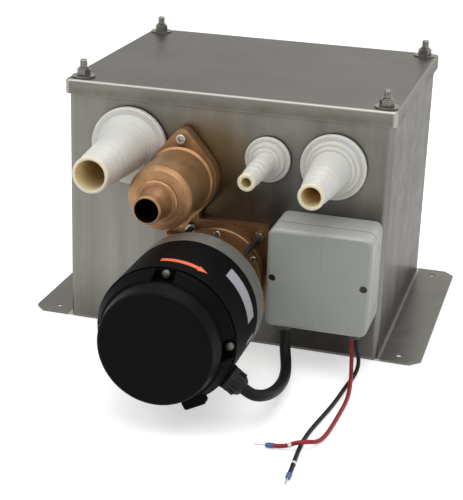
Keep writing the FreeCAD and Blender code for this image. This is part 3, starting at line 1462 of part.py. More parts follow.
def make_armature_core():
    body = on_pump("armature_core")
    core = circle(sketch_on(body, "XY_Plane", "core_start"), "0", "0", "core_radius")
    circle(core, "0", "0", "shaft_radius")
    pad(body, core, "core_end - core_start")
    slot = sketch_on(body, "XY_Plane", "core_end")
    mouth = "slot_width / 4"
    outline(slot, [
        (f"-{mouth}", "core_radius + 1"), (f"-{mouth}", "core_radius - 3"),
        ("-slot_width / 2", "core_radius - 6"), (f"-{mouth}", "core_radius - slot_depth"),
        (mouth, "core_radius - slot_depth"), ("slot_width / 2", "core_radius - 6"),
        (mouth, "core_radius - 3"), (mouth, "core_radius + 1"),
    ])
    ring_of(body, [pocket(body, slot, "core_end - core_start")], 12)
    return body


def make_armature_windings():
    """The coil ends that stand out of the core at both sides."""
    body = on_pump("armature_windings")
    rings = sketch_on(body, "XZ_Plane")
    for face, side in (("core_start", -1), ("core_end", 1)):
        outline(rings, [
            ("coil_inner", face), ("coil_outer", face),
            ("coil_outer", f"{face} + {side} * coil_overhang * 0.6"),
            ("coil_outer - 4", f"{face} + {side} * coil_overhang"),
            ("coil_inner + 4", f"{face} + {side} * coil_overhang"),
            ("coil_inner", f"{face} + {side} * coil_overhang * 0.6"),
        ])
    add(body, "Revolution", rings, ReferenceAxis=(rings, ["V_Axis"]), Angle=360)
    return body


def make_commutator():
    body = on_pump("commutator")
    turned(body, [
        ("shaft_radius", "commutator_start"), ("commutator_radius", "commutator_start"),
        ("commutator_radius", "commutator_end"), ("shaft_radius", "commutator_end"),
    ])
    return body


# Control box

def on_box(label):
    return on_front(label, "box_x", "box_height")


def box_block(body, rear, depth):
    sketch = sketch_on(body, "XY_Plane", rear)
    rectangle(sketch, "-box_width / 2", "box_width / 2", "-box_tall / 2", "box_tall / 2")
    pad(body, sketch, depth)
    rounded(body, corner_edge("box_width / 2", "box_tall / 2"), "box_corner")


def box_inside(sketch):
    return rectangle(sketch, "-box_width / 2 + box_wall", "box_width / 2 - box_wall",
                     "-box_tall / 2 + box_wall", "box_tall / 2 - box_wall")


def make_box_base():
    body = on_box("box_base")
    box_block(body, "0", "box_split")
    hollow = box_inside(sketch_on(body, "XY_Plane", "box_split"))
    pocket(body, hollow, "box_split - box_wall")
    rounded(body, corner_edge("box_width / 2 - box_wall", "box_tall / 2 - box_wall"), "box_corner - box_wall")
    for side in (1, -1):
        boss = circle(sketch_on(body, "XY_Plane", "box_wall / 2"), f"{side} * box_screw_offset", "0",
                      "box_boss_radius")
        pad(body, boss, "box_split - box_wall / 2")
    posts = sketch_on(body, "XY_Plane", "box_wall / 2")
    for x, y in all_corners("board_post_offset", "board_post_offset"):
        circle(posts, x, y, "board_post_radius")
    pad(body, posts, "board_rear - box_wall / 2")
    screw_holes = sketch_on(body, "XY_Plane", "box_split")
    for side in (1, -1):
        circle(screw_holes, f"{side} * box_screw_offset", "0", "box_screw_radius + thread_gap")
    pocket(body, screw_holes, "box_split - box_wall")
    for side in (1, -1):
        slots = sketch_on(body, "YZ_Plane", f"{side} * box_width / 2")
        for end in (1, -1):
            rectangle(slots, f"{end} * side_slot_offset - side_slot_length / 2",
                      f"{end} * side_slot_offset + side_slot_length / 2",
                      "20 - side_slot_width / 2", "20 + side_slot_width / 2")
        cut = pocket(body, slots, "side_slot_depth")
        cut.Reversed = side < 0
    return body


def make_box_seal():
    body = on_box("box_seal")
    box_block(body, "box_split", "box_seal")
    hollow = box_inside(sketch_on(body, "XY_Plane", "cover_rear"))
    pocket(body, hollow, "box_seal")
    return body


def make_box_cover():
    """The lid of the control box with softened edges, a lower right half and two sunk screws."""
    body = on_box("box_cover")
    box_block(body, "cover_rear", "box_depth - cover_rear")
    rounded(body, lambda point: near(point.z, "box_depth"), "box_edge")
    hollow = box_inside(sketch_on(body, "XY_Plane", "box_depth - box_wall"))
    pocket(body, hollow, "box_depth - box_wall - cover_rear")
    rounded(body, corner_edge("box_width / 2 - box_wall", "box_tall / 2 - box_wall"), "box_corner - box_wall")
    for side in (1, -1):
        pillar = circle(sketch_on(body, "XY_Plane", "cover_rear"), f"{side} * box_screw_offset", "0",
                        "box_boss_radius")
        pad(body, pillar, "box_depth - cover_rear - 1")
    panel = sketch_on(body, "XY_Plane", "box_depth")
    rectangle(panel, "panel_left", "box_width / 2 + 1", "-(box_tall / 2 + 1)", "box_tall / 2 + 1")
    pocket(body, panel, "panel_step")
    sinks = sketch_on(body, "XY_Plane", "box_depth")
    shanks = sketch_on(body, "XY_Plane", "box_depth")
    for side in (1, -1):
        circle(sinks, f"{side} * box_screw_offset", "0", "box_screw_head + head_gap")
        circle(shanks, f"{side} * box_screw_offset", "0", "box_screw_radius + 0.2")
    pocket(body, sinks, "box_screw_sink + 2")
    pocket(body, shanks, "box_depth - cover_rear")
    entries = sketch_on(body, "XZ_Plane", "box_tall / 2")
    for name in ("cable", "wire"):
        circle(entries, f"{name}_entry_x - box_x", "entry_front",
               f"{name}_grommet_radius - grommet_lip")
    pocket(body, entries, "box_wall + 1")
    return body


def make_box_screws():
    screws = []
    for number, side in enumerate((1, -1), start=1):
        place = (f"box_x + {side} * box_screw_offset", "box_height")
        screws.append(cap_screw(f"box_screw_{number}", place, "(box_depth - box_screw_sink - 2)",
                                "box_screw_radius", "box_screw_head", "box_screw_length",
                                "box_screw_head_height"))
    return group("box_screws", screws)


def make_circuit_board():
    body = on_box("circuit_board")
    sketch = sketch_on(body, "XY_Plane", "board_rear")
    rectangle(sketch, "-board_half", "board_half", "-board_half", "board_half")
    for x, y in all_corners("board_post_offset", "board_post_offset"):
        circle(sketch, x, y, "1.2")
    pad(body, sketch, "board_thickness")
    return body


def make_relay():
    body = on_box("relay")
    sketch = sketch_on(body, "XY_Plane", "board_front")
    rectangle(sketch, "-relay_size / 2", "relay_size / 2", "relay_place", "relay_place + relay_size")
    pad(body, sketch, "relay_rise")
    rounded(body, lambda point: near(point.z, "board_front + relay_rise"), "1", "Chamfer")
    return body


def make_terminal_block():
    """A row of wire terminals along the lower edge of the board."""
    body = on_box("terminal_block")
    sketch = sketch_on(body, "XY_Plane", "board_front")
    rectangle(sketch, "-terminal_length / 2", "terminal_length / 2", "-board_half + terminal_inset",
              "-board_half + terminal_inset + terminal_width")
    pad(body, sketch, "terminal_rise")
    holes = sketch_on(body, "XZ_Plane", "board_half - 3")
    for step in (-2, -1, 0, 1, 2):
        circle(holes, f"{step} * terminal_pitch", "board_front + terminal_rise / 2", "terminal_hole")
    pocket(body, holes, "terminal_width - 3")
    return body


def make_grommet(name, bores):
    """A rubber bushing in the floor of the box; cords leave at its lower mouth."""
    body = new_body(f"{name}_grommet", f"{name}_entry_x", "front_wall - entry_front", "box_floor", DOWNWARDS)
    rim = f"{name}_grommet_radius"
    turned(body, [
        ("0", "-box_wall - grommet_stand"), (f"{rim} - grommet_lip", "-box_wall - grommet_stand"),
        (f"{rim} - grommet_lip", "0"), (rim, "0"), (rim, "grommet_rim"),
        (f"{rim} - 1", "grommet_drop"), ("0", "grommet_drop"),
    ])
    holes = sketch_on(body, "XY_Plane", "grommet_drop")
    for offset, radius in bores:
        circle(holes, offset, "0", radius)
    pocket(body, holes, "grommet_drop + box_wall + grommet_stand")
    return body


# Level switch

def make_level_switch():
    """The switch head inside the tank: a stem through the wall, a round body and a fork."""
    body = new_body("level_switch", "switch_x", "front_wall", "switch_height", BACKWARDS)
    turned(body, [
        ("0", "0"), ("switch_stem_radius", "0"), ("switch_stem_radius", "wall_sheet"),
        ("switch_body_radius", "wall_sheet"), ("switch_body_radius", "wall_sheet + switch_body_length"),
        ("0", "wall_sheet + switch_body_length"),
    ])
    half_gap = "(switch_tongue / 2 + switch_side_gap)"
    for side in (1, -1):
        cheek = sketch_on(body, "YZ_Plane", f"{side} * {half_gap}")
        rectangle(cheek, "-5", "5", "wall_sheet + switch_body_length - 1",
                  "wall_sheet + switch_body_length + switch_fork_length")
        pad(body, cheek, "switch_fork_width", down=side < 0)
    pin = sketch_on(body, "YZ_Plane", f"-{half_gap} - switch_fork_width")
    circle(pin, "0", "switch_pin_back", "switch_pin_radius")
    pad(body, pin, f"2 * ({half_gap} + switch_fork_width)")
    return body


def make_float_arm():
    """The arm and its float, which hang against the fork's stop in an empty tank."""
    body = new_body("float_arm", "switch_x", "front_wall + switch_pin_back", "switch_height")
    hanging = Rotation(Vector(1, 0, 0), -90 - value("float_rest_angle"))
    body.Placement = Placement(body.Placement.Base, hanging)
    body.setExpression(".Placement.Rotation.Angle", bound("-90 - float_rest_angle"))
    tongue = sketch_on(body, "YZ_Plane", "-switch_tongue / 2")
    rectangle(tongue, "-tongue_half", "tongue_half", "-tongue_half", "tongue_reach")
    pad(body, tongue, "switch_tongue")
    rounded(body, lambda point: near(abs(point.y), "tongue_half")
            and near(point.z, "-tongue_half"), "tongue_half - 0.1")
    stem = circle(sketch_on(body, "XY_Plane", "stem_start"), "0", "0", "float_arm_radius")
    pad(body, stem, "float_arm - stem_start")
    turned(body, [
        ("0", "float_arm - float_tall / 2"), ("float_radius * 0.6", "float_arm - float_tall / 2"),
        ("float_radius", "float_arm - float_tall / 2 + float_taper"),
        ("float_radius", "float_arm + float_tall / 2 - float_taper"),
        ("float_radius * 0.6", "float_arm + float_tall / 2"), ("0", "float_arm + float_tall / 2"),
    ])
    hole = sketch_on(body, "YZ_Plane", "switch_tongue / 2")
    pocket(body, circle(hole, "0", "0", "switch_pin_radius + journal_gap"), "switch_tongue")
    return body


# Cords: routes are chosen by hand along what the cords lie on.

def route_wire(points):
    """Straight runs joined by tangent arcs, each as large as its two runs allow."""
    corners = [Vector(*point) for point in points]
    pieces = []
    radii = []
    start = corners[0]
    for before, corner, after in zip(corners, corners[1:], corners[2:]):
        inward = (before - corner).normalize()
        outward = (after - corner).normalize()
        half_turn = (math.pi - inward.getAngle(outward)) / 2
        reach = 0.45 * min((corner - before).Length, (after - corner).Length)
        radii.append(reach / math.tan(half_turn))
        arc_start = corner + inward * reach
        arc_end = corner + outward * reach
        bisector = (inward + outward).normalize()
        centre = corner + bisector * (radii[-1] / math.cos(half_turn))
        middle = centre - bisector * radii[-1]
        pieces.append(Part.LineSegment(start, arc_start).toShape())
        pieces.append(Part.Arc(arc_start, middle, arc_end).toShape())
        start = arc_end
    pieces.append(Part.LineSegment(start, corners[-1]).toShape())
    return Part.Wire(pieces), radii


def make_cord(label, points, radius):
    wire, radii = route_wire(points)
    start = Vector(*points[0])
    direction = (Vector(*points[1]) - start).normalize()
    section = Part.Wire(Part.makeCircle(radius, start, direction))
    tube = wire.makePipeShell([section], True, False)
    cord = doc.addObject("Part::Feature", label)
    cord.Label = label
    cord.Shape = tube
    expected = math.pi * radius ** 2 * wire.Length
    print(f"{label}: length {wire.Length:.1f}, volume {tube.Volume / expected:.4f} of section by length")
    print("  radii", " ".join(f"{bend:.0f}" for bend in radii))
    return cord


def make_ferrule(label, points):
    """A crimped end sleeve: a plastic collar on the insulation and a metal pin."""
    end = Vector(*points[-1])
    way = (end - Vector(*points[-2])).normalize()
    collar = Part.makeCylinder(value("ferrule_collar_radius"), value("ferrule_collar"), end, way)
    pin_start = end + way * value("ferrule_collar")
    pin = Part.makeCylinder(value("ferrule_pin_radius"), value("ferrule_pin"), pin_start, way)
    ferrule = doc.addObject("Part::Feature", label)
    ferrule.Label = label
    ferrule.Shape = collar.fuse(pin).removeSplitter()
    return ferrule


def make_marker(label, points):
    """A short white sleeve round the wire at the middle of the last leg but one of its route."""
    before, after = [Vector(*point) for point in points[-3:-1]]
    way = (after - before).normalize()
    start = (before + after) / 2 - way * (value("marker_length") / 2)
    sleeve = Part.makeCylinder(value("marker_radius"), value("marker_length"), start, way)
    hole = Part.makeCylinder(value("wire_radius + marker_gap"), value("marker_length"), start, way)
    marker = doc.addObject("Part::Feature", label)
    marker.Label = label
    marker.Shape = sleeve.cut(hole)
    return marker


gland_angle = math.radians(value("gland_angle"))
gland_way = Vector(math.cos(gland_angle), 0, -math.sin(gland_angle))
gland_mouth = (Vector(value("pump_x"), value("front_wall - gland_along"), value("pump_height"))
               + gland_way * value("motor_radius + gland_boss_rise + gland_hex + gland_dome"))
entry_y = value("front_wall - entry_front")
mouth_z = value("grommet_mouth")
cable_x = value("cable_entry_x")
cable_leg_z = mouth_z - value("cable_entry_leg")
cable_route = [
    tuple(gland_mouth),
    tuple(gland_mouth + gland_way * value("gland_leg")),
    (91.2, -315.8, 31.8),
    (95.1, -302.8, 27.3),
    (96.5, -283.2, 21.3),
    (96.6, -262.0, 16.2),
    (95.6, -240.0, 12.6),
    (92.9, -218.5, 11.3),
    (88.6, -200.5, 13.2),
    (84.0, -187.6, 21.0),
    (cable_x, entry_y, cable_leg_z),
    (cable_x, entry_y, mouth_z),
]
red_x = value("wire_entry_x - wire_spacing / 2")
black_x = value("wire_entry_x + wire_spacing / 2")
wire_leg_z = mouth_z - value("wire_entry_leg")
black_route = [
    (black_x, entry_y, mouth_z),
    (black_x, entry_y, wire_leg_z),
    (157.6, -181.2, 25.0),
    (158.8, -180.4, 15.5),
    (157.6, -182.6, 6.8),
    (155.2, -193.0, 2.5),
    (152.4, -212.0, 2.2),
    (150.4, -238.0, 2.2),
    (147.5, -262.0, 2.2),
    (143.6, -286.4, 2.2),
    (139.8, -310.1, 2.2),
    (137.9, -332.2, 2.2),
    (138.2, -351.0, 2.2),
    (139.2, -369.0, 2.7),
    (140.3, -384.0, 2.85),
    (140.7, -395.8, 2.85),
]
red_route = [
    (red_x, entry_y, mouth_z),
    (red_x, entry_y, wire_leg_z),
    (151.6, -182.8, 24.0),
    (152.6, -187.0, 14.8),
    (154.4, -194.5, 9.4),
    (156.2, -206.0, 6.6),
    (158.4, -222.0, 3.2),
    (159.6, -241.0, 2.2),
    (158.8, -265.0, 2.2),
    (157.4, -292.8, 2.2),
    (155.4, -316.5, 2.2),
    (151.4, -332.0, 3.2),
    (144.0, -342.5, 7.6),
    (134.5, -347.8, 7.8),
    (124.8, -349.8, 3.0),
    (114.8, -351.0, 2.85),
]

nodes = [
    make_base_plate(),
    make_tank_shell(),
    make_lid_studs(),
    make_lid_gasket(),
    make_lid(),
    make_lid_washers(),
    make_lid_nuts(),
    make_fitting("left_inlet", "left_inlet"),
    make_fitting("vent_tail", "vent"),
    make_fitting("right_inlet", "right_inlet"),
    make_fitting_gaskets(),
    make_fitting_nut("left_inlet_nut", "left_inlet"),
    make_fitting_nut("vent_nut", "vent"),
    make_fitting_nut("right_inlet_nut", "right_inlet"),
    make_suction_elbow(),
    make_pump_gasket(),
    make_pump_body(),
    make_pump_cover(),
    make_pump_cover_screws(),
    make_neck_screws(),
    make_shaft_seal(),
    make_tie_rods(),
    make_rod_nuts(),
    make_valve_gasket(),
    make_valve_cover(),
    make_valve_screws(),
    make_flap_pin(),
    make_valve_flap(),
    make_motor_bell(),
    make_motor_housing(),
    make_field_magnets(),
    make_motor_end_shield(),
    make_motor_cap(),
    make_motor_bolts(),
    make_motor_bearings(),
    make_brush_ring(),
    make_brushes(),
    make_motor_gland(),
    make_motor_shaft(),
    make_impeller(),
    make_armature_core(),
    make_armature_windings(),
    make_commutator(),
    make_box_base(),
    make_box_seal(),
    make_box_cover(),
    make_box_screws(),
    make_circuit_board(),
    make_relay(),
    make_terminal_block(),
    make_grommet("cable", [("0", "cable_radius")]),
    make_grommet("wire", [("-wire_spacing / 2", "wire_radius"), ("wire_spacing / 2", "wire_radius")]),
    make_level_switch(),
    make_float_arm(),
    make_cord("motor_cable", cable_route, value("cable_radius")),
    make_cord("red_wire", red_route, value("wire_radius")),
    make_cord("black_wire", black_route, value("wire_radius")),
    make_ferrule("red_ferrule", red_route),
    make_ferrule("black_ferrule", black_route),
    group("wire_markers", [make_marker("red_marker", red_route),
                           make_marker("black_marker", black_route)]),
]

doc.recompute()
for thing in doc.Objects:
    if {"Invalid", "Error"} & set(thing.State):
        raise RuntimeError(f"{thing.Label} did not build: {thing.State}")
for node in nodes:
    if node.Shape.isNull() or not node.Shape.isValid():
        raise RuntimeError(f"{node.Label} has no valid shape")

os.makedirs("parts", exist_ok=True)
for node in nodes:
    node.Shape.exportStep(f"parts/{node.Label}.step")
print(len(nodes), "nodes written")
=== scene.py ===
import math

import bpy
from mathutils import Matrix, Vector


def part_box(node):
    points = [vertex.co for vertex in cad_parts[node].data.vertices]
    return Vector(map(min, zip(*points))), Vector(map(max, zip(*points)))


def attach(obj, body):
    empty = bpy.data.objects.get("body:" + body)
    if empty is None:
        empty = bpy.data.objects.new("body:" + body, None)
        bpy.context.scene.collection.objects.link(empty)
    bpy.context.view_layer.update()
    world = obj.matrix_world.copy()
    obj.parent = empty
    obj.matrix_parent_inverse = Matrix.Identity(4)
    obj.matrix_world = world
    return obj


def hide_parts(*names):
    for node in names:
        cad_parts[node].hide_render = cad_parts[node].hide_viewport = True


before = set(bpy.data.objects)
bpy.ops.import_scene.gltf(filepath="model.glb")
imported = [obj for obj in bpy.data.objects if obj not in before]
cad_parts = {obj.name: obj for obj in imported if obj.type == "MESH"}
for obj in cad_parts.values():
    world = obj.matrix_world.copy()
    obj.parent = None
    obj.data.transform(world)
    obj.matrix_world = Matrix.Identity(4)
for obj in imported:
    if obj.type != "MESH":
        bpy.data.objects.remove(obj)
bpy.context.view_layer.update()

bl_info = {
    "name": "Sewage lifting station",
    "version": (1, 0, 0),
    "blender": (4, 5, 0),
    "location": "3D View > Sidebar > Lifting station",
    "description": "Cords, threads, signs and finishes of a sewage lifting station, and its studio",
    "category": "Object",
}

MM = 0.001
FULL_TURN = 2 * math.pi
SHARP_ANGLE = math.radians(35)
SAME_POINT = 0.002 * MM
SIGN_GAP = 0.04 * MM
MARKER_HALF = 1.7 * MM


# Places that follow from the frame, in metres

def middle(node):
    low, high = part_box(node)
    return (Vector(low) + Vector(high)) / 2


FRONT_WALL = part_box("tank_shell")[0][1]
MOTOR_AXIS = Vector((middle("motor_housing").x, 0, middle("motor_cap").z))
MOTOR_RADIUS = (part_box("motor_bell")[1][2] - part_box("motor_bell")[0][2]) / 2


# Routes of the cords, in metres: the points are chosen along what the cords lie on

GLAND_WAY = Vector((math.cos(math.radians(34)), 0, -math.sin(math.radians(34))))
GLAND_MOUTH = Vector((0.006, -0.32175, 0.088)) + GLAND_WAY * 0.086
CABLE_ROUTE = [
    tuple(GLAND_MOUTH),
    tuple(GLAND_MOUTH + GLAND_WAY * 0.0085),
    (0.0912, -0.3158, 0.0318),
    (0.0951, -0.3028, 0.0273),
    (0.0965, -0.2832, 0.0213),
    (0.0966, -0.262, 0.0162),
    (0.0956, -0.24, 0.0126),
    (0.0929, -0.2185, 0.0113),
    (0.0886, -0.2005, 0.0132),
    (0.084, -0.1876, 0.021),
    (0.0815, -0.18175, 0.033),
    (0.0815, -0.18175, 0.043),
]
BLACK_ROUTE = [
    (0.1552, -0.18175, 0.043),
    (0.1552, -0.18175, 0.034),
    (0.1576, -0.1812, 0.025),
    (0.1588, -0.1804, 0.0155),
    (0.1576, -0.1826, 0.0068),
    (0.1552, -0.193, 0.0025),
    (0.1524, -0.212, 0.0022),
    (0.1504, -0.238, 0.0022),
    (0.1475, -0.262, 0.0022),
    (0.1436, -0.2864, 0.0022),
    (0.1398, -0.3101, 0.0022),
    (0.1379, -0.3322, 0.0022),
    (0.1382, -0.351, 0.0022),
    (0.1392, -0.369, 0.0027),
    (0.1403, -0.384, 0.00285),
    (0.1407, -0.3958, 0.00285),
]
RED_ROUTE = [
    (0.1504, -0.18175, 0.043),
    (0.1504, -0.18175, 0.034),
    (0.1516, -0.1828, 0.024),
    (0.1526, -0.187, 0.0148),
    (0.1544, -0.1945, 0.0094),
    (0.1562, -0.206, 0.0066),
    (0.1584, -0.222, 0.0032),
    (0.1596, -0.241, 0.0022),
    (0.1588, -0.265, 0.0022),
    (0.1574, -0.2928, 0.0022),
    (0.1554, -0.3165, 0.0022),
    (0.1514, -0.332, 0.0032),
    (0.144, -0.3425, 0.0076),
    (0.1345, -0.3478, 0.0078),
    (0.1248, -0.3498, 0.003),
    (0.1148, -0.351, 0.00285),
]


# Settings that a user would change

class StationSizes(bpy.types.PropertyGroup):
    cable_diameter: bpy.props.FloatProperty(
        name="Motor cable", description="Outer diameter of the motor cable", default=0.0112,
        min=0.006, max=0.0112, subtype="DISTANCE", unit="LENGTH")
    wire_diameter: bpy.props.FloatProperty(
        name="Supply wire", description="Outer diameter of each supply wire", default=0.0042,
        min=0.002, max=0.0042, subtype="DISTANCE", unit="LENGTH")
    stud_pitch: bpy.props.FloatProperty(
        name="Stud pitch", description="Rise of the stud thread in one turn", default=0.00125,
        min=0.001, max=0.0015, subtype="DISTANCE", unit="LENGTH")
    sign_thickness: bpy.props.FloatProperty(
        name="Sign thickness", description="Thickness of the signs on the motor tube",
        default=0.00015, min=0.00005, max=0.0004, subtype="DISTANCE", unit="LENGTH")
    lens: bpy.props.FloatProperty(
        name="Lens", description="Focal length of the camera in millimetres", default=96.85,
        min=50, max=200)


def colour(name, description, default):
    return bpy.props.FloatVectorProperty(
        name=name, description=description, default=default, size=3, min=0, max=1, subtype="COLOR")


class StationColours(bpy.types.PropertyGroup):
    sheet: colour("Stainless sheet", "Tint of the tank's metal", (0.212, 0.206, 0.188))
    bronze: colour("Bronze", "Tint of the cast bronze", (0.43, 0.255, 0.128))
    fitting: colour("Fittings", "Colour of the plastic fittings", (0.62, 0.615, 0.585))
    motor: colour("Motor", "Colour of the motor's paint", (0.003, 0.0028, 0.003))
    aluminium: colour("Aluminium", "Tint of the cast aluminium", (0.3, 0.29, 0.272))
    box: colour("Control box", "Colour of the control box", (0.318, 0.336, 0.302))
    arrow: colour("Arrow", "Colour of the turning arrow", (0.86, 0.12, 0.02))
    red_wire: colour("Red wire", "Colour of the red wire", (0.22, 0.008, 0.012))
    ferrule: colour("Ferrule", "Colour of the end sleeves", (0.05, 0.10, 0.28))


# Modelling by hand

def start():
    """Object mode with nothing selected."""
    if bpy.context.object and bpy.context.object.mode != "OBJECT":
        bpy.ops.object.mode_set(mode="OBJECT")
    bpy.ops.object.select_all(action="DESELECT")


def take(name):
    """Names the object that was just added."""
    piece = bpy.context.object
    piece.name = name
    piece.data.name = name
    return piece


def select(piece, vertex_test=None, face_test=None):
    """Opens the piece in edit mode with what passes the test selected."""
    start()
    bpy.context.view_layer.objects.active = piece
    piece.select_set(True)
    mesh = piece.data
    for parts in (mesh.vertices, mesh.edges, mesh.polygons):
        parts.foreach_set("select", [False] * len(parts))
    by_face = face_test is not None
    bpy.context.tool_settings.mesh_select_mode = (not by_face, False, by_face)
    if by_face:
        for face in mesh.polygons:
            face.select = face_test(face.center, face.normal)
    else:
        for vertex in mesh.vertices:
            vertex.select = vertex_test is None or vertex_test(vertex.co)
    bpy.ops.object.mode_set(mode="EDIT")


def closed(piece):
    """Joins doubled points, closes open ends, turns faces outwards and smooths the piece."""
    select(piece)
    bpy.ops.mesh.select_all(action="SELECT")
    bpy.ops.mesh.remove_doubles(threshold=SAME_POINT)
    bpy.ops.mesh.fill_holes(sides=0)
    bpy.ops.mesh.normals_make_consistent(inside=False)
    bpy.ops.object.mode_set(mode="OBJECT")
    bpy.ops.object.shade_smooth_by_angle(angle=SHARP_ANGLE)
    return piece


def drawn_line(name, points):
    """A line of edges in the plane y = 0: one point, extruded from place to place."""
    start()
    bpy.ops.mesh.primitive_plane_add(size=MM)
    line = take(name)
    bpy.ops.object.mode_set(mode="EDIT")
    bpy.ops.mesh.select_all(action="SELECT")
    bpy.ops.mesh.merge(type="CENTER")
    bpy.ops.transform.translate(value=Vector((points[0][0], 0, points[0][1])) * MM)
    for before, after in zip(points, points[1:]):
        step = Vector((after[0] - before[0], 0, after[1] - before[1])) * MM
        bpy.ops.mesh.extrude_region_move(TRANSFORM_OT_translate={"value": step})
    bpy.ops.object.mode_set(mode="OBJECT")
    return line


def turned(name, points, steps, pitch=0.0, turns=1):
    """The line through points (radius, height in mm) swept round Z, or up a screw with a pitch."""
    piece = drawn_line(name, points)
    sweep = piece.modifiers.new("Turning", "SCREW")
    sweep.axis = "Z"
    sweep.angle = FULL_TURN
    sweep.steps = steps
    sweep.render_steps = steps
    sweep.screw_offset = pitch
    sweep.iterations = turns
    bpy.ops.object.modifier_apply(modifier=sweep.name)
    return closed(piece)


def put(piece, origin, way=Vector((0, 0, 1))):
    """Moves a piece made along Z so that it starts at origin and runs along way."""
    start()
    bpy.context.view_layer.objects.active = piece
    piece.select_set(True)
    turn = Vector((0, 0, 1)).rotation_difference(Vector(way).normalized())
    piece.matrix_world = Matrix.Translation(origin) @ turn.to_matrix().to_4x4()
    bpy.ops.object.transform_apply(location=True, rotation=True, scale=True)
    return piece


def copy_of(piece, name):
    made = piece.copy()
    made.data = piece.data.copy()
    made.name = name
    made.data.name = name
    bpy.context.collection.objects.link(made)
    return made


def discard(*pieces):
    """Deletes patterns that were only there to be copied."""
    start()
    for piece in pieces:
        piece.select_set(True)
    bpy.ops.object.delete()


def joined(name, parts):
    start()
    for part in parts:
        part.select_set(True)
    bpy.context.view_layer.objects.active = parts[0]
    bpy.ops.object.join()
    return take(name)


def coat(piece, material):
    piece.data.materials.clear()
    piece.data.materials.append(material)
    return piece


def finish_nodes(material, *names):
    """Gives solids of the frame the material in place of their plain one."""
    for name in names:
        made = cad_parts[name]
        if not made.material_slots:
            made.data.materials.append(material)
        for slot in made.material_slots:
            slot.material = material


# Colours of dirt and wear, and of painted shade and painted highlights

SHADE_DARK = (0.03, 0.024, 0.017)
CORNER_DIRT = (0.05, 0.04, 0.03)
BROWN_STAIN_AND_SHADE = (0.07, 0.05, 0.02)
PALE_DUST = (0.3, 0.295, 0.28)
WORN_AND_HIGHLIT_SHEET = (0.4, 0.39, 0.36)
DULL_GLINT = (0.62, 0.61, 0.6, 1)
ZINC = (0.2, 0.19, 0.17)


# Building blocks of the materials

def add(tree, kind, inputs=None, **settings):
    """A node with its settings and its inputs, given as values or as other nodes' outputs."""
    made = tree.nodes.new("ShaderNode" + kind)
    for name, setting in settings.items():
        setattr(made, name, setting)
    for name, given in (inputs or {}).items():
        socket = made.inputs[name]
        if isinstance(given, bpy.types.NodeSocket):
            tree.links.new(given, socket)
        else:
            socket.default_value = given
    return made


def sums(tree, operation, *values, clamp=False):
    made = add(tree, "Math", operation=operation, use_clamp=clamp)
    for index, given in enumerate(values):
        if isinstance(given, bpy.types.NodeSocket):
            tree.links.new(given, made.inputs[index])
        else:
            made.inputs[index].default_value = given
    return made.outputs[0]


def blended(tree, factor, low, high):
    """The colour low where factor is 0 and high where it is 1."""
    made = add(tree, "Mix", data_type="RGBA")
    for index, given in ((0, factor), (6, low), (7, high)):
        if isinstance(given, bpy.types.NodeSocket):
            tree.links.new(given, made.inputs[index])
        else:
            made.inputs[index].default_value = (*given, 1) if index else given
    return made.outputs[2]


def span(tree, value, low, high, to_low=0.0, to_high=1.0):
    """A soft ramp from to_low, where the value is low, to to_high, where it is high."""
    made = add(tree, "MapRange", {"Value": value, "From Min": low, "From Max": high,
                                  "To Min": to_low, "To Max": to_high}, interpolation_type="SMOOTHSTEP")
    return made.outputs["Result"]


def new_group(name, inputs, outputs):
    """A shader node group with its sockets: (name, socket kind, default) and (name, socket kind)."""
    tree = bpy.data.node_groups.new(name, "ShaderNodeTree")
    for label, kind, default in inputs:
        socket = tree.interface.new_socket(name=label, in_out="INPUT", socket_type="NodeSocket" + kind)
        if default is not None:
            socket.default_value = default
    for label, kind in outputs:
        tree.interface.new_socket(name=label, in_out="OUTPUT", socket_type="NodeSocket" + kind)
    entry = tree.nodes.new("NodeGroupInput")
    leave = tree.nodes.new("NodeGroupOutput")
    return tree, entry.outputs, leave.inputs


def use(tree, group_name, inputs):
    """A group placed in a material, with its values."""
    made = tree.nodes.new("ShaderNodeGroup")
    made.node_tree = bpy.data.node_groups[group_name]
    for name, given in inputs.items():
        if isinstance(given, bpy.types.NodeSocket):
            tree.links.new(given, made.inputs[name])
        else:
            made.inputs[name].default_value = given
    return made.outputs


def patches_on(tree, place, size, contrast=1.0):
    return use(tree, "Cloudy patches", {"Vector": place, "Size": size, "Contrast": contrast})["Patches"]


def lines_on(tree, place, line_scale):
    return use(tree, "Fine lines", {"Vector": place, "Line Scale": line_scale})["Lines"]


def edge_on(tree, place, width, broken):
    return use(tree, "Rubbed edges", {"Vector": place, "Width": width, "Break": broken})["Edge"]


def grime_and_shade_on(tree, place, reach, dust=0.0, full=0.9):
    return use(tree, "Grime and dust", {"Vector": place, "Reach": reach, "Dust": dust, "Full": full})


def build_cloud_group():
    """Soft patches of lighter and darker tone, such as handling marks leave."""
    tree, given, out = new_group(
        "Cloudy patches",
        [("Vector", "Vector", None), ("Size", "Float", 0.05), ("Contrast", "Float", 1.0)],
        [("Patches", "Float")])
    scaled = add(tree, "VectorMath", {"Vector": given["Vector"]}, operation="SCALE")
    tree.links.new(sums(tree, "DIVIDE", 1.0, given["Size"]), scaled.inputs["Scale"])
    noise = add(tree, "TexNoise", {"Vector": scaled.outputs[0], "Scale": 1.0, "Detail": 4.0,
                                   "Roughness": 0.55})
    middle_out = sums(tree, "SUBTRACT", noise.outputs["Fac"], 0.5)
    tree.links.new(sums(tree, "MULTIPLY", middle_out, given["Contrast"]), out["Patches"])


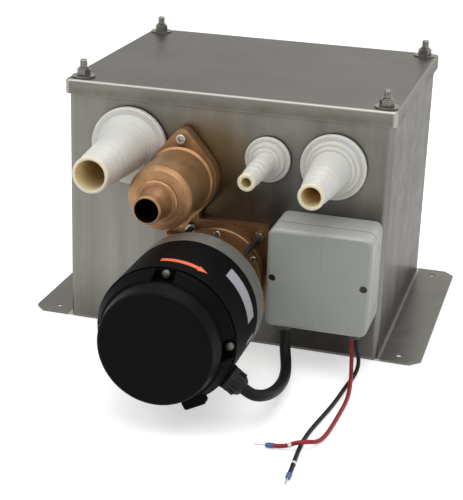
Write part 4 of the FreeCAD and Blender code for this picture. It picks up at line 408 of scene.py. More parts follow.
def build_grain_group():
    """Fine lines along one direction, as rolling, turning or moulding leaves them."""
    tree, given, out = new_group(
        "Fine lines",
        [("Vector", "Vector", None), ("Line Scale", "Vector", (40, 40, 2000))],
        [("Lines", "Float")])
    stretched = add(tree, "VectorMath", {0: given["Vector"], 1: given["Line Scale"]},
                    operation="MULTIPLY")
    noise = add(tree, "TexNoise", {"Vector": stretched.outputs[0], "Scale": 1.0, "Detail": 3.0,
                                   "Roughness": 0.6})
    tree.links.new(noise.outputs["Fac"], out["Lines"])


def build_cast_group():
    """The pitted skin of a sand casting, or the fine grain of a moulded face."""
    tree, given, out = new_group(
        "Cast skin",
        [("Vector", "Vector", None), ("Pit Size", "Float", 0.001)],
        [("Height", "Float"), ("Mottle", "Float")])
    scaled = add(tree, "VectorMath", {"Vector": given["Vector"]}, operation="SCALE")
    tree.links.new(sums(tree, "DIVIDE", 1.0, given["Pit Size"]), scaled.inputs["Scale"])
    coarse = add(tree, "TexNoise", {"Vector": scaled.outputs[0], "Scale": 0.35, "Detail": 6.0,
                                    "Roughness": 0.7})
    pits = add(tree, "TexVoronoi", {"Vector": scaled.outputs[0], "Scale": 0.9, "Randomness": 1.0},
               feature="SMOOTH_F1")
    both = sums(tree, "ADD", sums(tree, "MULTIPLY", coarse.outputs["Fac"], 0.7),
                sums(tree, "MULTIPLY", pits.outputs["Distance"], 0.3))
    tree.links.new(both, out["Height"])
    tree.links.new(coarse.outputs["Fac"], out["Mottle"])


def build_edge_group():
    """Bare or bright edges: where the rounded normal leaves the flat one, broken up by noise."""
    tree, given, out = new_group(
        "Rubbed edges",
        [("Vector", "Vector", None), ("Width", "Float", 0.0008), ("Break", "Float", 0.5)],
        [("Edge", "Float")])
    rounded_normal = add(tree, "Bevel", {"Radius": given["Width"]}, samples=4)
    flat = add(tree, "NewGeometry")
    meet = add(tree, "VectorMath", {0: rounded_normal.outputs[0], 1: flat.outputs["Normal"]},
               operation="DOT_PRODUCT")
    apart = sums(tree, "MULTIPLY", sums(tree, "SUBTRACT", 1.0, meet.outputs["Value"]), 6.0, clamp=True)
    noise = add(tree, "TexNoise", {"Vector": given["Vector"], "Scale": 220.0, "Detail": 3.0})
    broken = sums(tree, "SUBTRACT", 1.0, sums(tree, "MULTIPLY", noise.outputs["Fac"], given["Break"]))
    tree.links.new(sums(tree, "MULTIPLY", apart, broken, clamp=True), out["Edge"])


def build_fold_group():
    """Bends of folded sheet: where the surface faces along none of the three axes."""
    tree, given, out = new_group("Folds", [], [("Fold", "Float")])
    facing = add(tree, "VectorMath", {0: add(tree, "NewGeometry").outputs["Normal"]},
                 operation="ABSOLUTE")
    total = add(tree, "VectorMath", {0: facing.outputs[0], 1: (1, 1, 1)}, operation="DOT_PRODUCT")
    tree.links.new(span(tree, total.outputs["Value"], 1.05, 1.35), out["Fold"])


def build_grime_group():
    """Dirt that gathers in corners and joints, and dust on what faces up; with a long reach the
    darkening is painted shade near other parts, and with a large dust share the paler top is painted
    light.
    """
    tree, given, out = new_group(
        "Grime and dust",
        [("Vector", "Vector", None), ("Reach", "Float", 0.01), ("Dust", "Float", 0.2),
         ("Full", "Float", 0.9)],
        [("Grime", "Float"), ("Dust", "Float")])
    shelter = add(tree, "AmbientOcclusion", {"Distance": given["Reach"]}, samples=6)
    closed_in = span(tree, sums(tree, "SUBTRACT", 1.0, shelter.outputs["AO"]), 0.25, given["Full"])
    noise = add(tree, "TexNoise", {"Vector": given["Vector"], "Scale": 60.0, "Detail": 5.0})
    uneven = sums(tree, "ADD", sums(tree, "MULTIPLY", noise.outputs["Fac"], 0.8), 0.35)
    tree.links.new(sums(tree, "MULTIPLY", closed_in, uneven, clamp=True), out["Grime"])
    facing = add(tree, "SeparateXYZ", {"Vector": add(tree, "NewGeometry").outputs["Normal"]})
    up = span(tree, facing.outputs["Z"], 0.3, 1.0)
    settled = sums(tree, "MULTIPLY", sums(tree, "MULTIPLY", up, given["Dust"]), uneven)
    tree.links.new(settled, out["Dust"])


def off_axis(tree, place, axis):
    """The distance from a line along Y through axis (x, z)."""
    split = add(tree, "SeparateXYZ", {"Vector": place}).outputs
    across = sums(tree, "POWER", sums(tree, "SUBTRACT", split["X"], axis[0]), 2.0)
    upward = sums(tree, "POWER", sums(tree, "SUBTRACT", split["Z"], axis[1]), 2.0)
    return sums(tree, "SQRT", sums(tree, "ADD", across, upward))


def begin(name):
    """A material's tree, its shader and its Object coordinates."""
    material = bpy.data.materials.new(name)
    material.use_nodes = True
    tree = material.node_tree
    shader = tree.nodes["Principled BSDF"]
    place = add(tree, "TexCoord").outputs["Object"]
    return material, tree, shader, place


def seen_straight(tree):
    """1 for rays from the camera, a reflection or through glass, else 0."""
    path = add(tree, "LightPath").outputs
    return sums(tree, "MAXIMUM", sums(tree, "MAXIMUM", path["Is Camera Ray"], path["Is Glossy Ray"]),
                path["Is Transmission Ray"])


def bump(tree, shader, height, strength, distance):
    """Relief in the shader's normal; distance is its depth in metres."""
    made = add(tree, "Bump", {"Height": height, "Strength": strength, "Distance": distance})
    tree.links.new(made.outputs["Normal"], shader.inputs["Normal"])


def sheet_metal(name, tint, line_scale, streak=0.0, fold_highlight=0.1, shadow=0.85, painted_spots=(), seam=None,
                skirt=None):
    """Dull rolled stainless sheet with faint lines, soft patches, painted highlights on the folds, dark
    corners and painted shade near other parts.

    Each spot (x, z, inner radius, outer radius, colour, amount) is a patch of painted light, as painted
    shade, painted shadow or painted reflection; seam is how far out from the middle a bright weld runs,
    and skirt is the height below which a brown stain hangs, which is also painted shade on the skirt.
    """
    material, tree, shader, place = begin(name)
    lines = lines_on(tree, place, line_scale)
    patches = patches_on(tree, place, 0.09)
    smears = patches_on(tree, place, 0.022)
    grime = grime_and_shade_on(tree, place, 0.012, 0.1)
    # Painted shade: a long-reach occlusion finds where other parts stand close, such as behind the pump
    # and under the box.
    shade = grime_and_shade_on(tree, place, 0.11, full=0.62)["Grime"]
    streaks = lines_on(tree, place, (45, 45, 2.5))
    fold = use(tree, "Folds", {})["Fold"]
    edge = edge_on(tree, place, 0.0012, 0.5)
    light = [min(1, part * 1.22) for part in tint]
    dark = [part * 0.68 for part in tint]
    drawn = sums(tree, "MULTIPLY", sums(tree, "SUBTRACT", streaks, 0.5), streak)
    uneven = sums(tree, "ADD", sums(tree, "MULTIPLY", patches, 1.1), drawn)
    tone = sums(tree, "ADD", uneven, 0.5, clamp=True)
    base = blended(tree, tone, dark, light)
    lined = blended(tree, sums(tree, "MULTIPLY", lines, 0.35), base, [part * 0.8 for part in tint])
    # The painted shade darkens the sheet there towards a near-black brown.
    shaded_and_stained = blended(tree, sums(tree, "MULTIPLY", shade, shadow), lined, SHADE_DARK)
    # The spots paint light onto the sheet: painted shade, a painted shadow and a painted reflection.
    for x, z, inner, outer, painted_light, amount in painted_spots:
        reach = span(tree, off_axis(tree, place, (x, z)), outer, inner)
        shaded_and_stained = blended(tree, sums(tree, "MULTIPLY", reach, amount), shaded_and_stained, painted_light)
    # A brown stain on the lid's skirt, below its top, which also stands as painted shade on the side
    # faces.
    if skirt:
        height = add(tree, "SeparateXYZ", {"Vector": place}).outputs["Z"]
        film = sums(tree, "MULTIPLY", span(tree, height, skirt, skirt - 0.008),
                    sums(tree, "ADD", sums(tree, "MULTIPLY", smears, 1.5), 0.6, clamp=True))
        shaded_and_stained = blended(tree, sums(tree, "MULTIPLY", film, 0.5), shaded_and_stained, BROWN_STAIN_AND_SHADE)
    brown = blended(tree, sums(tree, "MULTIPLY", grime["Grime"], 0.55), shaded_and_stained, CORNER_DIRT)
    dusty = blended(tree, grime["Dust"], brown, PALE_DUST)
    # Worn edges, and a painted highlight along the folds where the sheet bends; the seam adds a bright
    # weld.
    rubbed = sums(tree, "MAXIMUM", sums(tree, "MULTIPLY", edge, 0.6), sums(tree, "MULTIPLY", fold, fold_highlight))
    if seam:
        across = add(tree, "SeparateXYZ", {"Vector": place}).outputs["X"]
        gap = sums(tree, "ABSOLUTE", sums(tree, "SUBTRACT", sums(tree, "ABSOLUTE", across), seam))
        rubbed = sums(tree, "MAXIMUM", rubbed, span(tree, gap, 0.004, 0.0015))
    tree.links.new(blended(tree, rubbed, dusty, WORN_AND_HIGHLIT_SHEET), shader.inputs["Base Color"])
    rough = sums(tree, "ADD", sums(tree, "MULTIPLY", lines, 0.12), sums(tree, "MULTIPLY", smears, 0.22))
    tree.links.new(sums(tree, "ADD", rough, 0.29), shader.inputs["Roughness"])
    shader.inputs["Metallic"].default_value = 1.0
    shader.inputs["Specular Tint"].default_value = DULL_GLINT
    bump(tree, shader, lines, 0.08, 0.0002)
    return material


def bright_steel(name, tint, rough=0.28):
    """Turned or pressed fasteners with rubbed corners and grey recesses."""
    material, tree, shader, place = begin(name)
    patches = patches_on(tree, place, 0.004)
    grime = grime_and_shade_on(tree, place, 0.003, 0.1)
    edge = edge_on(tree, place, 0.0003, 0.4)
    tone = sums(tree, "ADD", patches, 0.5, clamp=True)
    base = blended(tree, tone, [part * 0.7 for part in tint], tint)
    dirty = blended(tree, sums(tree, "MULTIPLY", grime["Grime"], 0.8), base, (0.05, 0.045, 0.04))
    tree.links.new(blended(tree, edge, dirty, (0.75, 0.74, 0.72)), shader.inputs["Base Color"])
    tree.links.new(sums(tree, "ADD", sums(tree, "MULTIPLY", patches, 0.25), rough),
                   shader.inputs["Roughness"])
    shader.inputs["Metallic"].default_value = 1.0
    bump(tree, shader, patches, 0.05, 0.0002)
    return material


def cast_metal(name, tint, deep, pit=0.0012, rough=0.46, strength=0.35, metallic=1.0, bore=None):
    """A casting: pitted skin, mottled tone, dark corners, rubbed edges; round a bore (x, z, radius)
    patina and painted shade darken the rim, and painted shade fills the bore.
    """
    material, tree, shader, place = begin(name)
    skin = use(tree, "Cast skin", {"Vector": place, "Pit Size": pit})
    patches = patches_on(tree, place, 0.018)
    grime = grime_and_shade_on(tree, place, 0.014, 0.1)
    edge = edge_on(tree, place, 0.0012, 0.7)
    tone = sums(tree, "ADD", sums(tree, "MULTIPLY", patches, 1.3), skin["Mottle"], clamp=True)
    base = blended(tree, tone, deep, tint)
    dark = blended(tree, sums(tree, "MULTIPLY", grime["Grime"], 0.6), base,
                   [part * 0.25 for part in deep])
    light = [min(1, part * 1.5 + 0.05) for part in tint]
    worn = blended(tree, sums(tree, "MULTIPLY", edge, 0.7), dark, light)
    if bore:
        outwards = off_axis(tree, place, bore)
        # Patina and painted shade darken the casting round the bore.
        patina_and_shade = span(tree, outwards, bore[2] * 1.9, bore[2] * 1.4)
        worn = blended(tree, sums(tree, "MULTIPLY", patina_and_shade, 0.45), worn, deep)
        # Painted shade: the inside of the bore is painted near black.
        inside = span(tree, outwards, bore[2] + 0.0008, bore[2] + 0.0001)
        worn = blended(tree, inside, worn, (0.012, 0.009, 0.006))
    tree.links.new(worn, shader.inputs["Base Color"])
    tree.links.new(sums(tree, "ADD", sums(tree, "MULTIPLY", skin["Mottle"], 0.25), rough - 0.12),
                   shader.inputs["Roughness"])
    shader.inputs["Metallic"].default_value = metallic
    bump(tree, shader, skin["Height"], strength, 0.0005)
    return material


def moulded(name, tint, grain=0.0006, rough=0.42, strength=0.12, wear_and_highlight=0.25, grime=0.5, dust=0.08,
            shine=0.5):
    """Moulded plastic or paint: fine grain, faint patches, paler edges and dirt in corners; a large edge
    share paints a highlight along the edges, and a large dust share paints light on what faces up.
    """
    material, tree, shader, place = begin(name)
    skin = use(tree, "Cast skin", {"Vector": place, "Pit Size": grain})
    patches = patches_on(tree, place, 0.03)
    dirt = grime_and_shade_on(tree, place, 0.008, dust)
    edge = edge_on(tree, place, 0.0008, 0.6)
    tone = sums(tree, "ADD", sums(tree, "MULTIPLY", patches, 0.9), 0.55, clamp=True)
    base = blended(tree, tone, [part * 0.86 for part in tint], tint)
    dark = blended(tree, sums(tree, "MULTIPLY", dirt["Grime"], grime), base,
                   [part * 0.35 for part in tint])
    # Dust pales what faces up; where the dust share is large, as on the control box, the paler top is
    # painted light.
    dusty = blended(tree, dirt["Dust"], dark, [0.4 * part + 0.36 for part in tint])
    # Paler edges: wear, and where the edge share is large, as on the motor cap and the control box, a
    # painted highlight.
    light = [min(1, part * 1.3 + 0.04) for part in tint]
    tree.links.new(blended(tree, sums(tree, "MULTIPLY", edge, wear_and_highlight), dusty, light),
                   shader.inputs["Base Color"])
    tree.links.new(sums(tree, "ADD", sums(tree, "MULTIPLY", skin["Mottle"], 0.2), rough - 0.1),
                   shader.inputs["Roughness"])
    shader.inputs["Specular IOR Level"].default_value = shine
    bump(tree, shader, skin["Height"], strength, 0.0003)
    return material


def fitting_plastic(name, tint, axis, bore, mouth, silt, painted_light):
    """White fitting plastic that has yellowed at its mouth and silted up inside its bore.

    The bore runs along Y through axis (x, z) and opens at mouth; silt is its colour deep inside,
    and the last argument is how much dirt and painted shade darken the outer corners and steps.
    """
    material, tree, shader, place = begin(name)
    skin = use(tree, "Cast skin", {"Vector": place, "Pit Size": 0.0009})
    rings = lines_on(tree, place, (6, 1500, 6))
    patches = patches_on(tree, place, 0.02)
    dirt = grime_and_shade_on(tree, place, 0.007, full=0.7)
    edge = edge_on(tree, place, 0.0008, 0.5)
    along = add(tree, "SeparateXYZ", {"Vector": place}).outputs["Y"]
    inside = span(tree, off_axis(tree, place, axis), bore + 0.0008, bore + 0.0001)
    depth = span(tree, along, mouth, mouth + 0.05)
    near_mouth = span(tree, along, mouth + 0.012, mouth)
    tone = sums(tree, "ADD", patches, 0.55, clamp=True)
    base = blended(tree, tone, [part * 0.93 for part in tint], tint)
    ivory = blended(tree, sums(tree, "MULTIPLY", near_mouth, 0.45), base, (0.72, 0.62, 0.42))
    # Dirt and painted shade darken the corners and the steps of the flange.
    dark = blended(tree, sums(tree, "MULTIPLY", dirt["Grime"], painted_light), ivory, (0.3, 0.275, 0.225))
    sludge = blended(tree, sums(tree, "ADD", depth, patches, clamp=True), (0.8, 0.71, 0.48), silt)
    stained = blended(tree, sums(tree, "MULTIPLY", inside, 0.9), dark, sludge)
    tree.links.new(blended(tree, sums(tree, "MULTIPLY", edge, 0.4), stained, (0.9, 0.89, 0.86)),
                   shader.inputs["Base Color"])
    tree.links.new(sums(tree, "ADD", sums(tree, "MULTIPLY", skin["Mottle"], 0.2), 0.3),
                   shader.inputs["Roughness"])
    shader.inputs["Subsurface Weight"].default_value = 0.8
    shader.inputs["Subsurface Scale"].default_value = 1.0
    shader.inputs["Subsurface Radius"].default_value = (0.007, 0.0055, 0.003)
    relief = sums(tree, "ADD", sums(tree, "MULTIPLY", skin["Height"], 0.4),
                  sums(tree, "MULTIPLY", rings, 0.3))
    bump(tree, shader, relief, 0.14, 0.0003)
    return material


def rubber(name, tint, rough=0.6, dust=0.1, shine=0.5):
    """Matt rubber or cord sheath with a fine skin and a grey bloom."""
    material, tree, shader, place = begin(name)
    lines = lines_on(tree, place, (900, 900, 900))
    patches = patches_on(tree, place, 0.012)
    dirt = grime_and_shade_on(tree, place, 0.005, dust)
    tone = sums(tree, "ADD", sums(tree, "MULTIPLY", patches, 1.2), 0.5, clamp=True)
    base = blended(tree, tone, [part * 0.7 for part in tint], [part * 1.5 for part in tint])
    dusty = blended(tree, dirt["Dust"], base, (0.25, 0.24, 0.22))
    tree.links.new(dusty, shader.inputs["Base Color"])
    tree.links.new(sums(tree, "ADD", sums(tree, "MULTIPLY", lines, 0.2), rough - 0.1),
                   shader.inputs["Roughness"])
    shader.inputs["Specular IOR Level"].default_value = shine
    bump(tree, shader, lines, 0.1, 0.0002)
    return material


# Operators, one for each piece or group of like pieces

class STATION_OT_camera(bpy.types.Operator):
    """Add the camera at the photograph's viewing angle"""
    bl_idname = "station.camera"
    bl_label = "Camera"

    def execute(self, context):
        azimuth = math.radians(15.488)
        height = math.radians(20.838)
        roll = math.radians(1.975)
        back = Vector((math.sin(azimuth) * math.cos(height), -math.cos(azimuth) * math.cos(height),
                       math.sin(height)))
        right = (-back).cross(Vector((0, 0, 1))).normalized()
        up = right.cross(-back)
        across = right * math.cos(roll) + up * math.sin(roll)
        upward = up * math.cos(roll) - right * math.sin(roll)
        camera = bpy.data.objects.new("camera", bpy.data.cameras.new("camera"))
        camera.data.lens = context.scene.station_sizes.lens
        camera.data.sensor_width = 36
        turn = Matrix((across, upward, back)).transposed()
        stand = (0.358885, -1.395653, 0.598143)
        camera.matrix_world = Matrix.Translation(stand) @ turn.to_4x4()
        context.collection.objects.link(camera)
        context.scene.camera = camera
        return {"FINISHED"}


def cord_curve(name, route, diameter):
    """A round cord on one smooth spline with the route's points as its control points."""
    line = bpy.data.curves.new(name, "CURVE")
    line.dimensions = "3D"
    spline = line.splines.new("NURBS")
    spline.points.add(len(route) - 1)
    for point, place in zip(spline.points, route):
        point.co = (*place, 1)
    spline.order_u = 3
    spline.use_endpoint_u = True
    line.resolution_u = 10
    line.bevel_depth = diameter / 2
    line.bevel_resolution = 6
    line.use_fill_caps = True
    cord = bpy.data.objects.new(name, line)
    bpy.context.collection.objects.link(cord)
    return cord


class STATION_OT_cords(bpy.types.Operator):
    """Add the motor cable and the two supply wires with their end sleeves and markers"""
    bl_idname = "station.cords"
    bl_label = "Cords"

    def execute(self, context):
        sizes = context.scene.station_sizes
        tints = context.scene.station_colours
        cable = coat(cord_curve("motor_cable_sheath", CABLE_ROUTE, sizes.cable_diameter),
                     rubber("cable sheath", (0.005, 0.005, 0.0055), 0.5, dust=0.02, shine=0.15))
        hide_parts("motor_cable")
        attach(cable, "station")
        blue = moulded("end sleeve plastic", tuple(tints.ferrule), rough=0.35, wear_and_highlight=0.3)
        tin = bright_steel("tinned pin", (0.62, 0.61, 0.58), 0.3)
        paper = moulded("marker plastic", (0.72, 0.72, 0.7), rough=0.45)
        red = rubber("red insulation", tuple(tints.red_wire), 0.42, dust=0.02, shine=0.3)
        black = rubber("black insulation", (0.006, 0.006, 0.0065), 0.42, dust=0.02, shine=0.2)
        patterns = (coat(self.end_sleeve(), blue), coat(self.end_pin(), tin), coat(self.marker(), paper))
        for tone, route, insulation, length in (("red", RED_ROUTE, red, 0.2221),
                                                ("black", BLACK_ROUTE, black, 0.2516)):
            wire = coat(cord_curve(f"{tone}_wire_sheath", route, sizes.wire_diameter), insulation)
            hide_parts(f"{tone}_wire")
            sleeve, pin, marker = [copy_of(pattern, f"{tone}_{pattern.name}") for pattern in patterns]
            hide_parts(f"{tone}_ferrule")
            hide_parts("wire_markers")
            before, after, end = [Vector(point) for point in route[-3:]]
            put(sleeve, end, end - after)
            put(pin, end, end - after)
            way = (after - before).normalized()
            put(marker, (before + after) / 2 - way * MARKER_HALF, way)
            for piece, slot_name in ((wire, f"wire_{tone}"), (sleeve, "ferrule_blue"),
                                     (pin, "ferrule_blue"), (marker, "marker_white")):
                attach(piece, "station")
        discard(*patterns)
        return {"FINISHED"}

    @staticmethod
    def end_sleeve():
        """A plastic collar, flared at its mouth."""
        return turned("end_sleeve", [
            (2.2, 0.1), (2.5, 0.0), (2.75, 0.25), (2.75, 0.9), (2.5, 1.4), (2.5, 5.0), (2.2, 6.3),
            (1.6, 7.4), (0.0, 7.5)], steps=32)

    @staticmethod
    def end_pin():
        """A tinned pin, pressed flat at two places."""
        pin = turned("end_pin", [
            (0.0, 7.0), (0.88, 7.0), (0.88, 8.6), (0.7, 9.0), (0.7, 11.0), (0.88, 11.4), (0.88, 12.2),
            (0.7, 12.6), (0.7, 14.6), (0.88, 15.0), (0.88, 17.1), (0.72, 17.45), (0.0, 17.5)], steps=24)
        for low, high in ((8.9, 11.1), (12.5, 14.7)):
            select(pin, lambda point: low * MM < point.z < high * MM)
            bpy.ops.transform.resize(value=(1.2, 0.82, 1), center_override=(0, 0, low * MM))
        start()
        return pin

    @staticmethod
    def marker():
        """A short white sleeve with rounded rims."""
        return turned("marker", [(2.2, 0.0), (2.5, 0.1), (2.6, 0.5), (2.6, 3.0), (2.5, 3.3), (2.2, 3.4),
                                 (2.2, 0.0)], steps=28)


class STATION_OT_studs(bpy.types.Operator):
    """Add the four threaded studs that hold the lid"""
    bl_idname = "station.studs"
    bl_label = "Lid studs"

    def execute(self, context):
        pitch = context.scene.station_sizes.stud_pitch
        low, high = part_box("lid_studs")
        root, crest = 3.4, 3.98
        rise = pitch / MM
        turns = int((high[2] - low[2]) / pitch) - 1
        thread = turned("lid_stud_thread", [
            (root, 0.0), (crest, rise * 0.42), (crest, rise * 0.58), (root, rise)],
            steps=28, pitch=pitch, turns=turns)
        length = (high[2] - low[2]) / MM
        core = turned("lid_stud_core", [
            (0.0, 0.0), (3.45, 0.0), (3.45, length - 0.9), (2.7, length), (0.0, length)], steps=28)
        stud = coat(joined("lid_stud_pattern", [thread, core]),
                    bright_steel("zinc plated studs", ZINC, 0.38))
        half = 4 * MM
        places = [Vector((x, y, low[2])) for x in (low[0] + half, high[0] - half)
                  for y in (low[1] + half, high[1] - half)]
        for number, place in enumerate(places, start=1):
            made = put(copy_of(stud, f"threaded_stud_{number}"), place)
            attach(made, "station")
            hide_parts("lid_studs")
        discard(stud)
        return {"FINISHED"}


def tube_strip(name, first, last, near, far):
    """A strip round the motor tube between two angles and two distances in mm from the wall."""
    start()
    centre = Vector((MOTOR_AXIS.x, FRONT_WALL - (near + far) / 2 * MM, MOTOR_AXIS.z))
    bpy.ops.mesh.primitive_cylinder_add(
        vertices=360, radius=MOTOR_RADIUS + SIGN_GAP, depth=(far - near) * MM, end_fill_type="NOTHING",
        location=centre, rotation=(math.pi / 2, 0, 0))
    strip = take(name)
    bpy.ops.object.transform_apply(location=True, rotation=True, scale=True)

    def outside(point, normal):
        angle = math.degrees(math.atan2(point.z - MOTOR_AXIS.z, point.x - MOTOR_AXIS.x))
        return not first < angle < last

    select(strip, face_test=outside)
    bpy.ops.mesh.delete(type="FACE")
    start()
    return strip


def thicken(strip, thickness):
    """Gives a strip its thickness, outwards, so that it becomes a closed film."""
    bpy.context.view_layer.objects.active = strip
    strip.select_set(True)
    solid = strip.modifiers.new("Thickness", "SOLIDIFY")
    solid.thickness = thickness
    solid.offset = 1
    bpy.ops.object.modifier_apply(modifier=solid.name)
    bpy.ops.object.shade_smooth_by_angle(angle=SHARP_ANGLE)
    start()
    return strip


class STATION_OT_signs(bpy.types.Operator):
    """Add the turning arrow and the blank stickers on the motor tube"""
    bl_idname = "station.signs"
    bl_label = "Motor signs"

    def execute(self, context):
        thickness = context.scene.station_sizes.sign_thickness
        orange = moulded("arrow film", tuple(context.scene.station_colours.arrow), rough=0.4, wear_and_highlight=0.1,
                         grime=0.2)
        silver = moulded("sticker film", (0.34, 0.345, 0.375), grain=0.0012, rough=0.45, wear_and_highlight=0.1)
        tip, neck, tail = 61, 69, 100
        ahead = 181.1
        shaft = tube_strip("arrow_shaft", neck, tail, ahead - 3.0, ahead + 3.0)
        head = tube_strip("arrow_head", tip, neck, ahead - 5.1, ahead + 5.1)
        centre_line = FRONT_WALL - ahead * MM
        for step in range(neck - tip + 1):
            angle = tip + step

            def column(point):
                here = math.degrees(math.atan2(point.z - MOTOR_AXIS.z, point.x - MOTOR_AXIS.x))
                return abs(here - angle) < 0.6

            select(head, column)
            share = max(0.04, step / (neck - tip))
            bpy.ops.transform.resize(value=(1, share, 1), center_override=(0, centre_line, 0))
        start()
        arrow = joined("turning_arrow", [thicken(shaft, thickness), thicken(head, thickness)])
        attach(coat(arrow, orange), "station")
        for name, first, last, near, far in (("blank_sticker", 5.5, 49.5, 142.0, 160.5),
                                             ("small_sticker", -16, -12, 136.0, 156.0)):
            sticker = thicken(tube_strip(name, first, last, near, far), thickness)
            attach(coat(sticker, silver), "station")
        return {"FINISHED"}


class STATION_OT_tank_finish(bpy.types.Operator):
    """Give the tank, its base and its lid their rolled stainless finish"""
    bl_idname = "station.tank_finish"
    bl_label = "Tank finish"

    def execute(self, context):
        tint = tuple(context.scene.station_colours.sheet)
        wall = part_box("tank_shell")[1][0]
        valve = middle("valve_cover")
        box = middle("box_base")
        # Painted light on the front wall: painted shade at its right-hand corner by the valve, a painted
        # reflection of the bronze valve to its right, and a painted shadow of the control box at the
        # foot of the wall.
        corner_shade = (wall - 0.02, valve.z, 0.01, 0.1, (0.08, 0.075, 0.065), 0.3)
        bronze_reflection = (valve.x + 0.02, valve.z + 0.005, 0.03, 0.08, (0.2, 0.14, 0.05), 0.6)
        box_shadow = (box.x - 0.01, 0.015, 0.03, 0.065, (0.02, 0.018, 0.014), 0.85)
        finish_nodes(sheet_metal("rolled sheet", [part * 0.92 for part in tint], (5, 5, 700), streak=1.8,
                                 shadow=0.7, painted_spots=(corner_shade, bronze_reflection, box_shadow)), "tank_shell")
        # The lid's folds get a strong painted highlight.
        finish_nodes(sheet_metal("rolled lid", [part * 0.88 for part in tint], (5, 700, 700), fold_highlight=0.7,
                                 skirt=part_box("lid")[1][2] - 0.003), "lid")
        finish_nodes(sheet_metal("rolled base", [part * 0.92 for part in tint], (700, 5, 5), shadow=0.45,
                                 seam=wall),
                     "base_plate")
        bright = bright_steel("bright stainless", (0.5, 0.49, 0.46), 0.3)
        finish_nodes(bright, "pump_cover_screws", "neck_screws", "rod_nuts", "valve_screws", "flap_pin",
                     "motor_shaft", "motor_bearings")
        finish_nodes(bright_steel("zinc plated nuts", ZINC, 0.36), "lid_nuts", "lid_washers")
        finish_nodes(bright_steel("blackened screws", (0.05, 0.048, 0.045), 0.45), "box_screws")
        finish_nodes(bright_steel("dulled steel", (0.13, 0.12, 0.105), 0.42), "tie_rods", "motor_bolts")
        return {"FINISHED"}


class STATION_OT_fitting_finish(bpy.types.Operator):
    """Give the hose fittings their plastic"""
    bl_idname = "station.fitting_finish"
    bl_label = "Fitting finish"

    def execute(self, context):
        tint = tuple(context.scene.station_colours.fitting)
        # The last value of each row is how much dirt and painted shade darken that fitting's corners.
        for node, bore, silt, painted_light in (("left_inlet", 0.0153, (0.62, 0.52, 0.22), 0.3),
                                       ("vent_tail", 0.0052, (0.75, 0.7, 0.45), 0.65),
                                       ("right_inlet", 0.0098, (0.8, 0.56, 0.15), 0.75)):
            centre = middle(node)
            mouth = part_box(node)[0][1]
            plastic = fitting_plastic(node.replace("_", " ") + " plastic", tint, (centre.x, centre.z),
                                      bore, mouth, silt, painted_light)
            finish_nodes(plastic, node)
        finish_nodes(moulded("nut plastic", tint, rough=0.45), "left_inlet_nut", "vent_nut",
                     "right_inlet_nut")
        return {"FINISHED"}


class STATION_OT_pump_finish(bpy.types.Operator):
    """Give the pump and the check valve their cast bronze"""
    bl_idname = "station.pump_finish"
    bl_label = "Pump finish"

    def execute(self, context):
        tint = tuple(context.scene.station_colours.bronze)
        deep = (tint[0] * 0.55, tint[1] * 0.48, tint[2] * 0.42)
        finish_nodes(cast_metal("cast bronze", [part * 0.8 for part in tint], deep, metallic=0.85),
                     "pump_body", "pump_cover", "suction_elbow", "impeller")
        nozzle = middle("valve_cover")
        finish_nodes(cast_metal("valve bronze", (tint[0] * 1.02, tint[1] * 1.0, tint[2] * 0.98), deep,
                                metallic=0.8, rough=0.44, bore=(nozzle.x, nozzle.z, 0.0118)),
                     "valve_cover")
        finish_nodes(rubber("flap rubber", (0.03, 0.03, 0.03)), "valve_flap")
        return {"FINISHED"}


class STATION_OT_motor_finish(bpy.types.Operator):
    """Give the motor its paint, its cast bell and its inner parts"""
    bl_idname = "station.motor_finish"
    bl_label = "Motor finish"

    def execute(self, context):
        tints = context.scene.station_colours
        finish_nodes(moulded("motor paint", tuple(tints.motor), grain=0.0008, rough=0.52, strength=0.15,
                             wear_and_highlight=0.1, dust=0.0, shine=0.03), "motor_housing", "motor_end_shield")
        # The cap's large edge share paints a highlight along the rounded rim of its front face.
        finish_nodes(moulded("cap paint", tuple(tints.motor), grain=0.0012, rough=0.46, strength=0.25,
                             wear_and_highlight=0.9, dust=0.0, shine=0.05), "motor_cap")
        alloy = tuple(tints.aluminium)
        finish_nodes(cast_metal("cast aluminium", alloy, [part * 0.6 for part in alloy], pit=0.0008,
                                rough=0.5, strength=0.25), "motor_bell")
        finish_nodes(moulded("gland plastic", (0.006, 0.006, 0.0065), rough=0.45, wear_and_highlight=0.3, dust=0.0,
                             shine=0.2), "motor_gland")
        finish_nodes(moulded("black mouldings", (0.016, 0.016, 0.017), rough=0.5), "brush_ring",
                     "level_switch", "terminal_block")
        finish_nodes(cast_metal("ferrite", (0.05, 0.05, 0.052), (0.03, 0.03, 0.03), metallic=0.2),
                     "field_magnets")
        finish_nodes(sheet_metal("core stampings", (0.24, 0.24, 0.25), (5, 2500, 5)), "armature_core")
        finish_nodes(cast_metal("copper", (0.62, 0.26, 0.13), (0.4, 0.14, 0.06), pit=0.0006, rough=0.35),
                     "armature_windings", "commutator")
        finish_nodes(moulded("carbon", (0.03, 0.03, 0.032), rough=0.55), "brushes")
        return {"FINISHED"}


class STATION_OT_box_finish(bpy.types.Operator):
    """Give the control box and what is in it their plastics"""
    bl_idname = "station.box_finish"
    bl_label = "Box finish"

    def execute(self, context):
        tint = tuple(context.scene.station_colours.box)
        # A large dust share paints light on the box's top face, and a large edge share paints highlights
        # along its edges.
        finish_nodes(moulded("box plastic", tint, grain=0.0007, rough=0.42, wear_and_highlight=0.9, grime=0.4,
                             dust=1.0), "box_base", "box_cover")
        finish_nodes(moulded("circuit board", (0.02, 0.13, 0.04), rough=0.3), "circuit_board")
        finish_nodes(moulded("relay case", (0.03, 0.07, 0.2), rough=0.25), "relay")
        finish_nodes(moulded("float plastic", (0.62, 0.2, 0.04), rough=0.4), "float_arm")
        return {"FINISHED"}


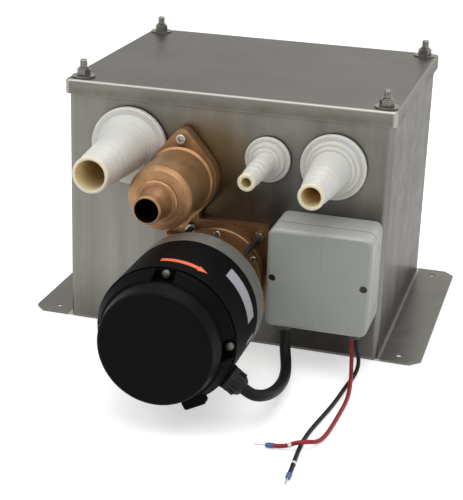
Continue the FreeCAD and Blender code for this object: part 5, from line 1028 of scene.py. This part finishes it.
class STATION_OT_rubber_finish(bpy.types.Operator):
    """Give the gaskets, seals and grommets their rubber"""
    bl_idname = "station.rubber_finish"
    bl_label = "Rubber finish"

    def execute(self, context):
        finish_nodes(rubber("black rubber", (0.022, 0.022, 0.022)), "lid_gasket", "fitting_gaskets",
                     "pump_gasket", "valve_gasket", "box_seal", "cable_grommet", "wire_grommet",
                     "shaft_seal")
        return {"FINISHED"}


class STATION_OT_stage(bpy.types.Operator):
    """Add the pale floor, the white surroundings and the soft lamps"""
    bl_idname = "station.stage"
    bl_label = "Stage"

    def execute(self, context):
        start()
        bpy.ops.mesh.primitive_grid_add(x_subdivisions=4, y_subdivisions=4, size=40,
                                        location=(0, 0, -0.4 * MM))
        floor = take("floor")
        bpy.ops.object.transform_apply(location=True, rotation=True, scale=True)
        paper, tree, shader, place = begin("floor paper")
        patches = patches_on(tree, place, 0.3, 0.04)
        tone = sums(tree, "ADD", patches, 0.8)
        shade = add(tree, "CombineColor", {"Red": tone, "Green": tone, "Blue": tone})
        tree.links.new(shade.outputs[0], shader.inputs["Base Color"])
        shader.inputs["Roughness"].default_value = 0.9
        shader.inputs["Specular IOR Level"].default_value = 0.1
        glow = add(tree, "Emission", {"Color": (1, 1, 1, 1)})
        tree.links.new(sums(tree, "MULTIPLY", seen_straight(tree), 0.5), glow.inputs["Strength"])
        lit = add(tree, "AddShader")
        tree.links.new(shader.outputs[0], lit.inputs[0])
        tree.links.new(glow.outputs[0], lit.inputs[1])
        tree.links.new(lit.outputs[0], tree.nodes["Material Output"].inputs["Surface"])
        coat(floor, paper)
        self.surroundings(context)
        self.lamps(context)
        context.scene.view_settings.view_transform = "Standard"
        return {"FINISHED"}

    @staticmethod
    def surroundings(context):
        world = bpy.data.worlds.new("surroundings")
        context.scene.world = world
        world.use_nodes = True
        tree = world.node_tree
        tree.nodes.clear()
        strength = span(tree, seen_straight(tree), 0.0, 1.0, 0.52, 1.0)
        sky = add(tree, "Background", {"Color": (1, 1, 1, 1), "Strength": strength})
        out = add(tree, "OutputWorld")
        tree.links.new(sky.outputs[0], out.inputs["Surface"])

    @staticmethod
    def lamps(context):
        for name, place, size, power in (("key", (-1.5, -1.3, 1.7), 1.2, 13),
                                         ("fill", (1.9, -1.0, 0.6), 1.4, 4),
                                         ("overhead", (0.3, -0.6, 2.4), 2.6, 37),
                                         ("rim", (0.3, 1.6, 1.8), 1.2, 7)):
            lamp = bpy.data.objects.new(name, bpy.data.lights.new(name, "AREA"))
            lamp.data.energy = power
            lamp.data.size = size
            lamp.location = place
            aim = Vector((0, -0.1, 0.12)) - lamp.location
            lamp.rotation_euler = aim.to_track_quat("-Z", "Y").to_euler()
            context.collection.objects.link(lamp)


class STATION_PT_panel(bpy.types.Panel):
    """The station's pieces and finishes in the sidebar"""
    bl_idname = "STATION_PT_panel"
    bl_label = "Lifting station"
    bl_space_type = "VIEW_3D"
    bl_region_type = "UI"
    bl_category = "Lifting station"

    def draw(self, context):
        for settings in (context.scene.station_sizes, context.scene.station_colours):
            for name in settings.__annotations__:
                self.layout.prop(settings, name)
        for operator in OPERATORS:
            self.layout.operator(operator.bl_idname)


GROUPS = (StationSizes, StationColours)
OPERATORS = (STATION_OT_camera, STATION_OT_cords, STATION_OT_studs, STATION_OT_signs,
             STATION_OT_tank_finish, STATION_OT_fitting_finish, STATION_OT_pump_finish,
             STATION_OT_motor_finish, STATION_OT_box_finish, STATION_OT_rubber_finish,
             STATION_OT_stage)


def register():
    for made in (*GROUPS, *OPERATORS, STATION_PT_panel):
        bpy.utils.register_class(made)
    bpy.types.Scene.station_sizes = bpy.props.PointerProperty(type=StationSizes)
    bpy.types.Scene.station_colours = bpy.props.PointerProperty(type=StationColours)


def unregister():
    del bpy.types.Scene.station_colours
    del bpy.types.Scene.station_sizes
    for made in reversed((*GROUPS, *OPERATORS, STATION_PT_panel)):
        bpy.utils.unregister_class(made)


def main():
    register()
    for build in (build_cloud_group, build_grain_group, build_cast_group, build_edge_group,
                  build_fold_group, build_grime_group):
        build()
    for operator in OPERATORS:
        getattr(bpy.ops.station, operator.bl_idname.partition(".")[2])()
    start()


if __name__ == "__main__":
    main()
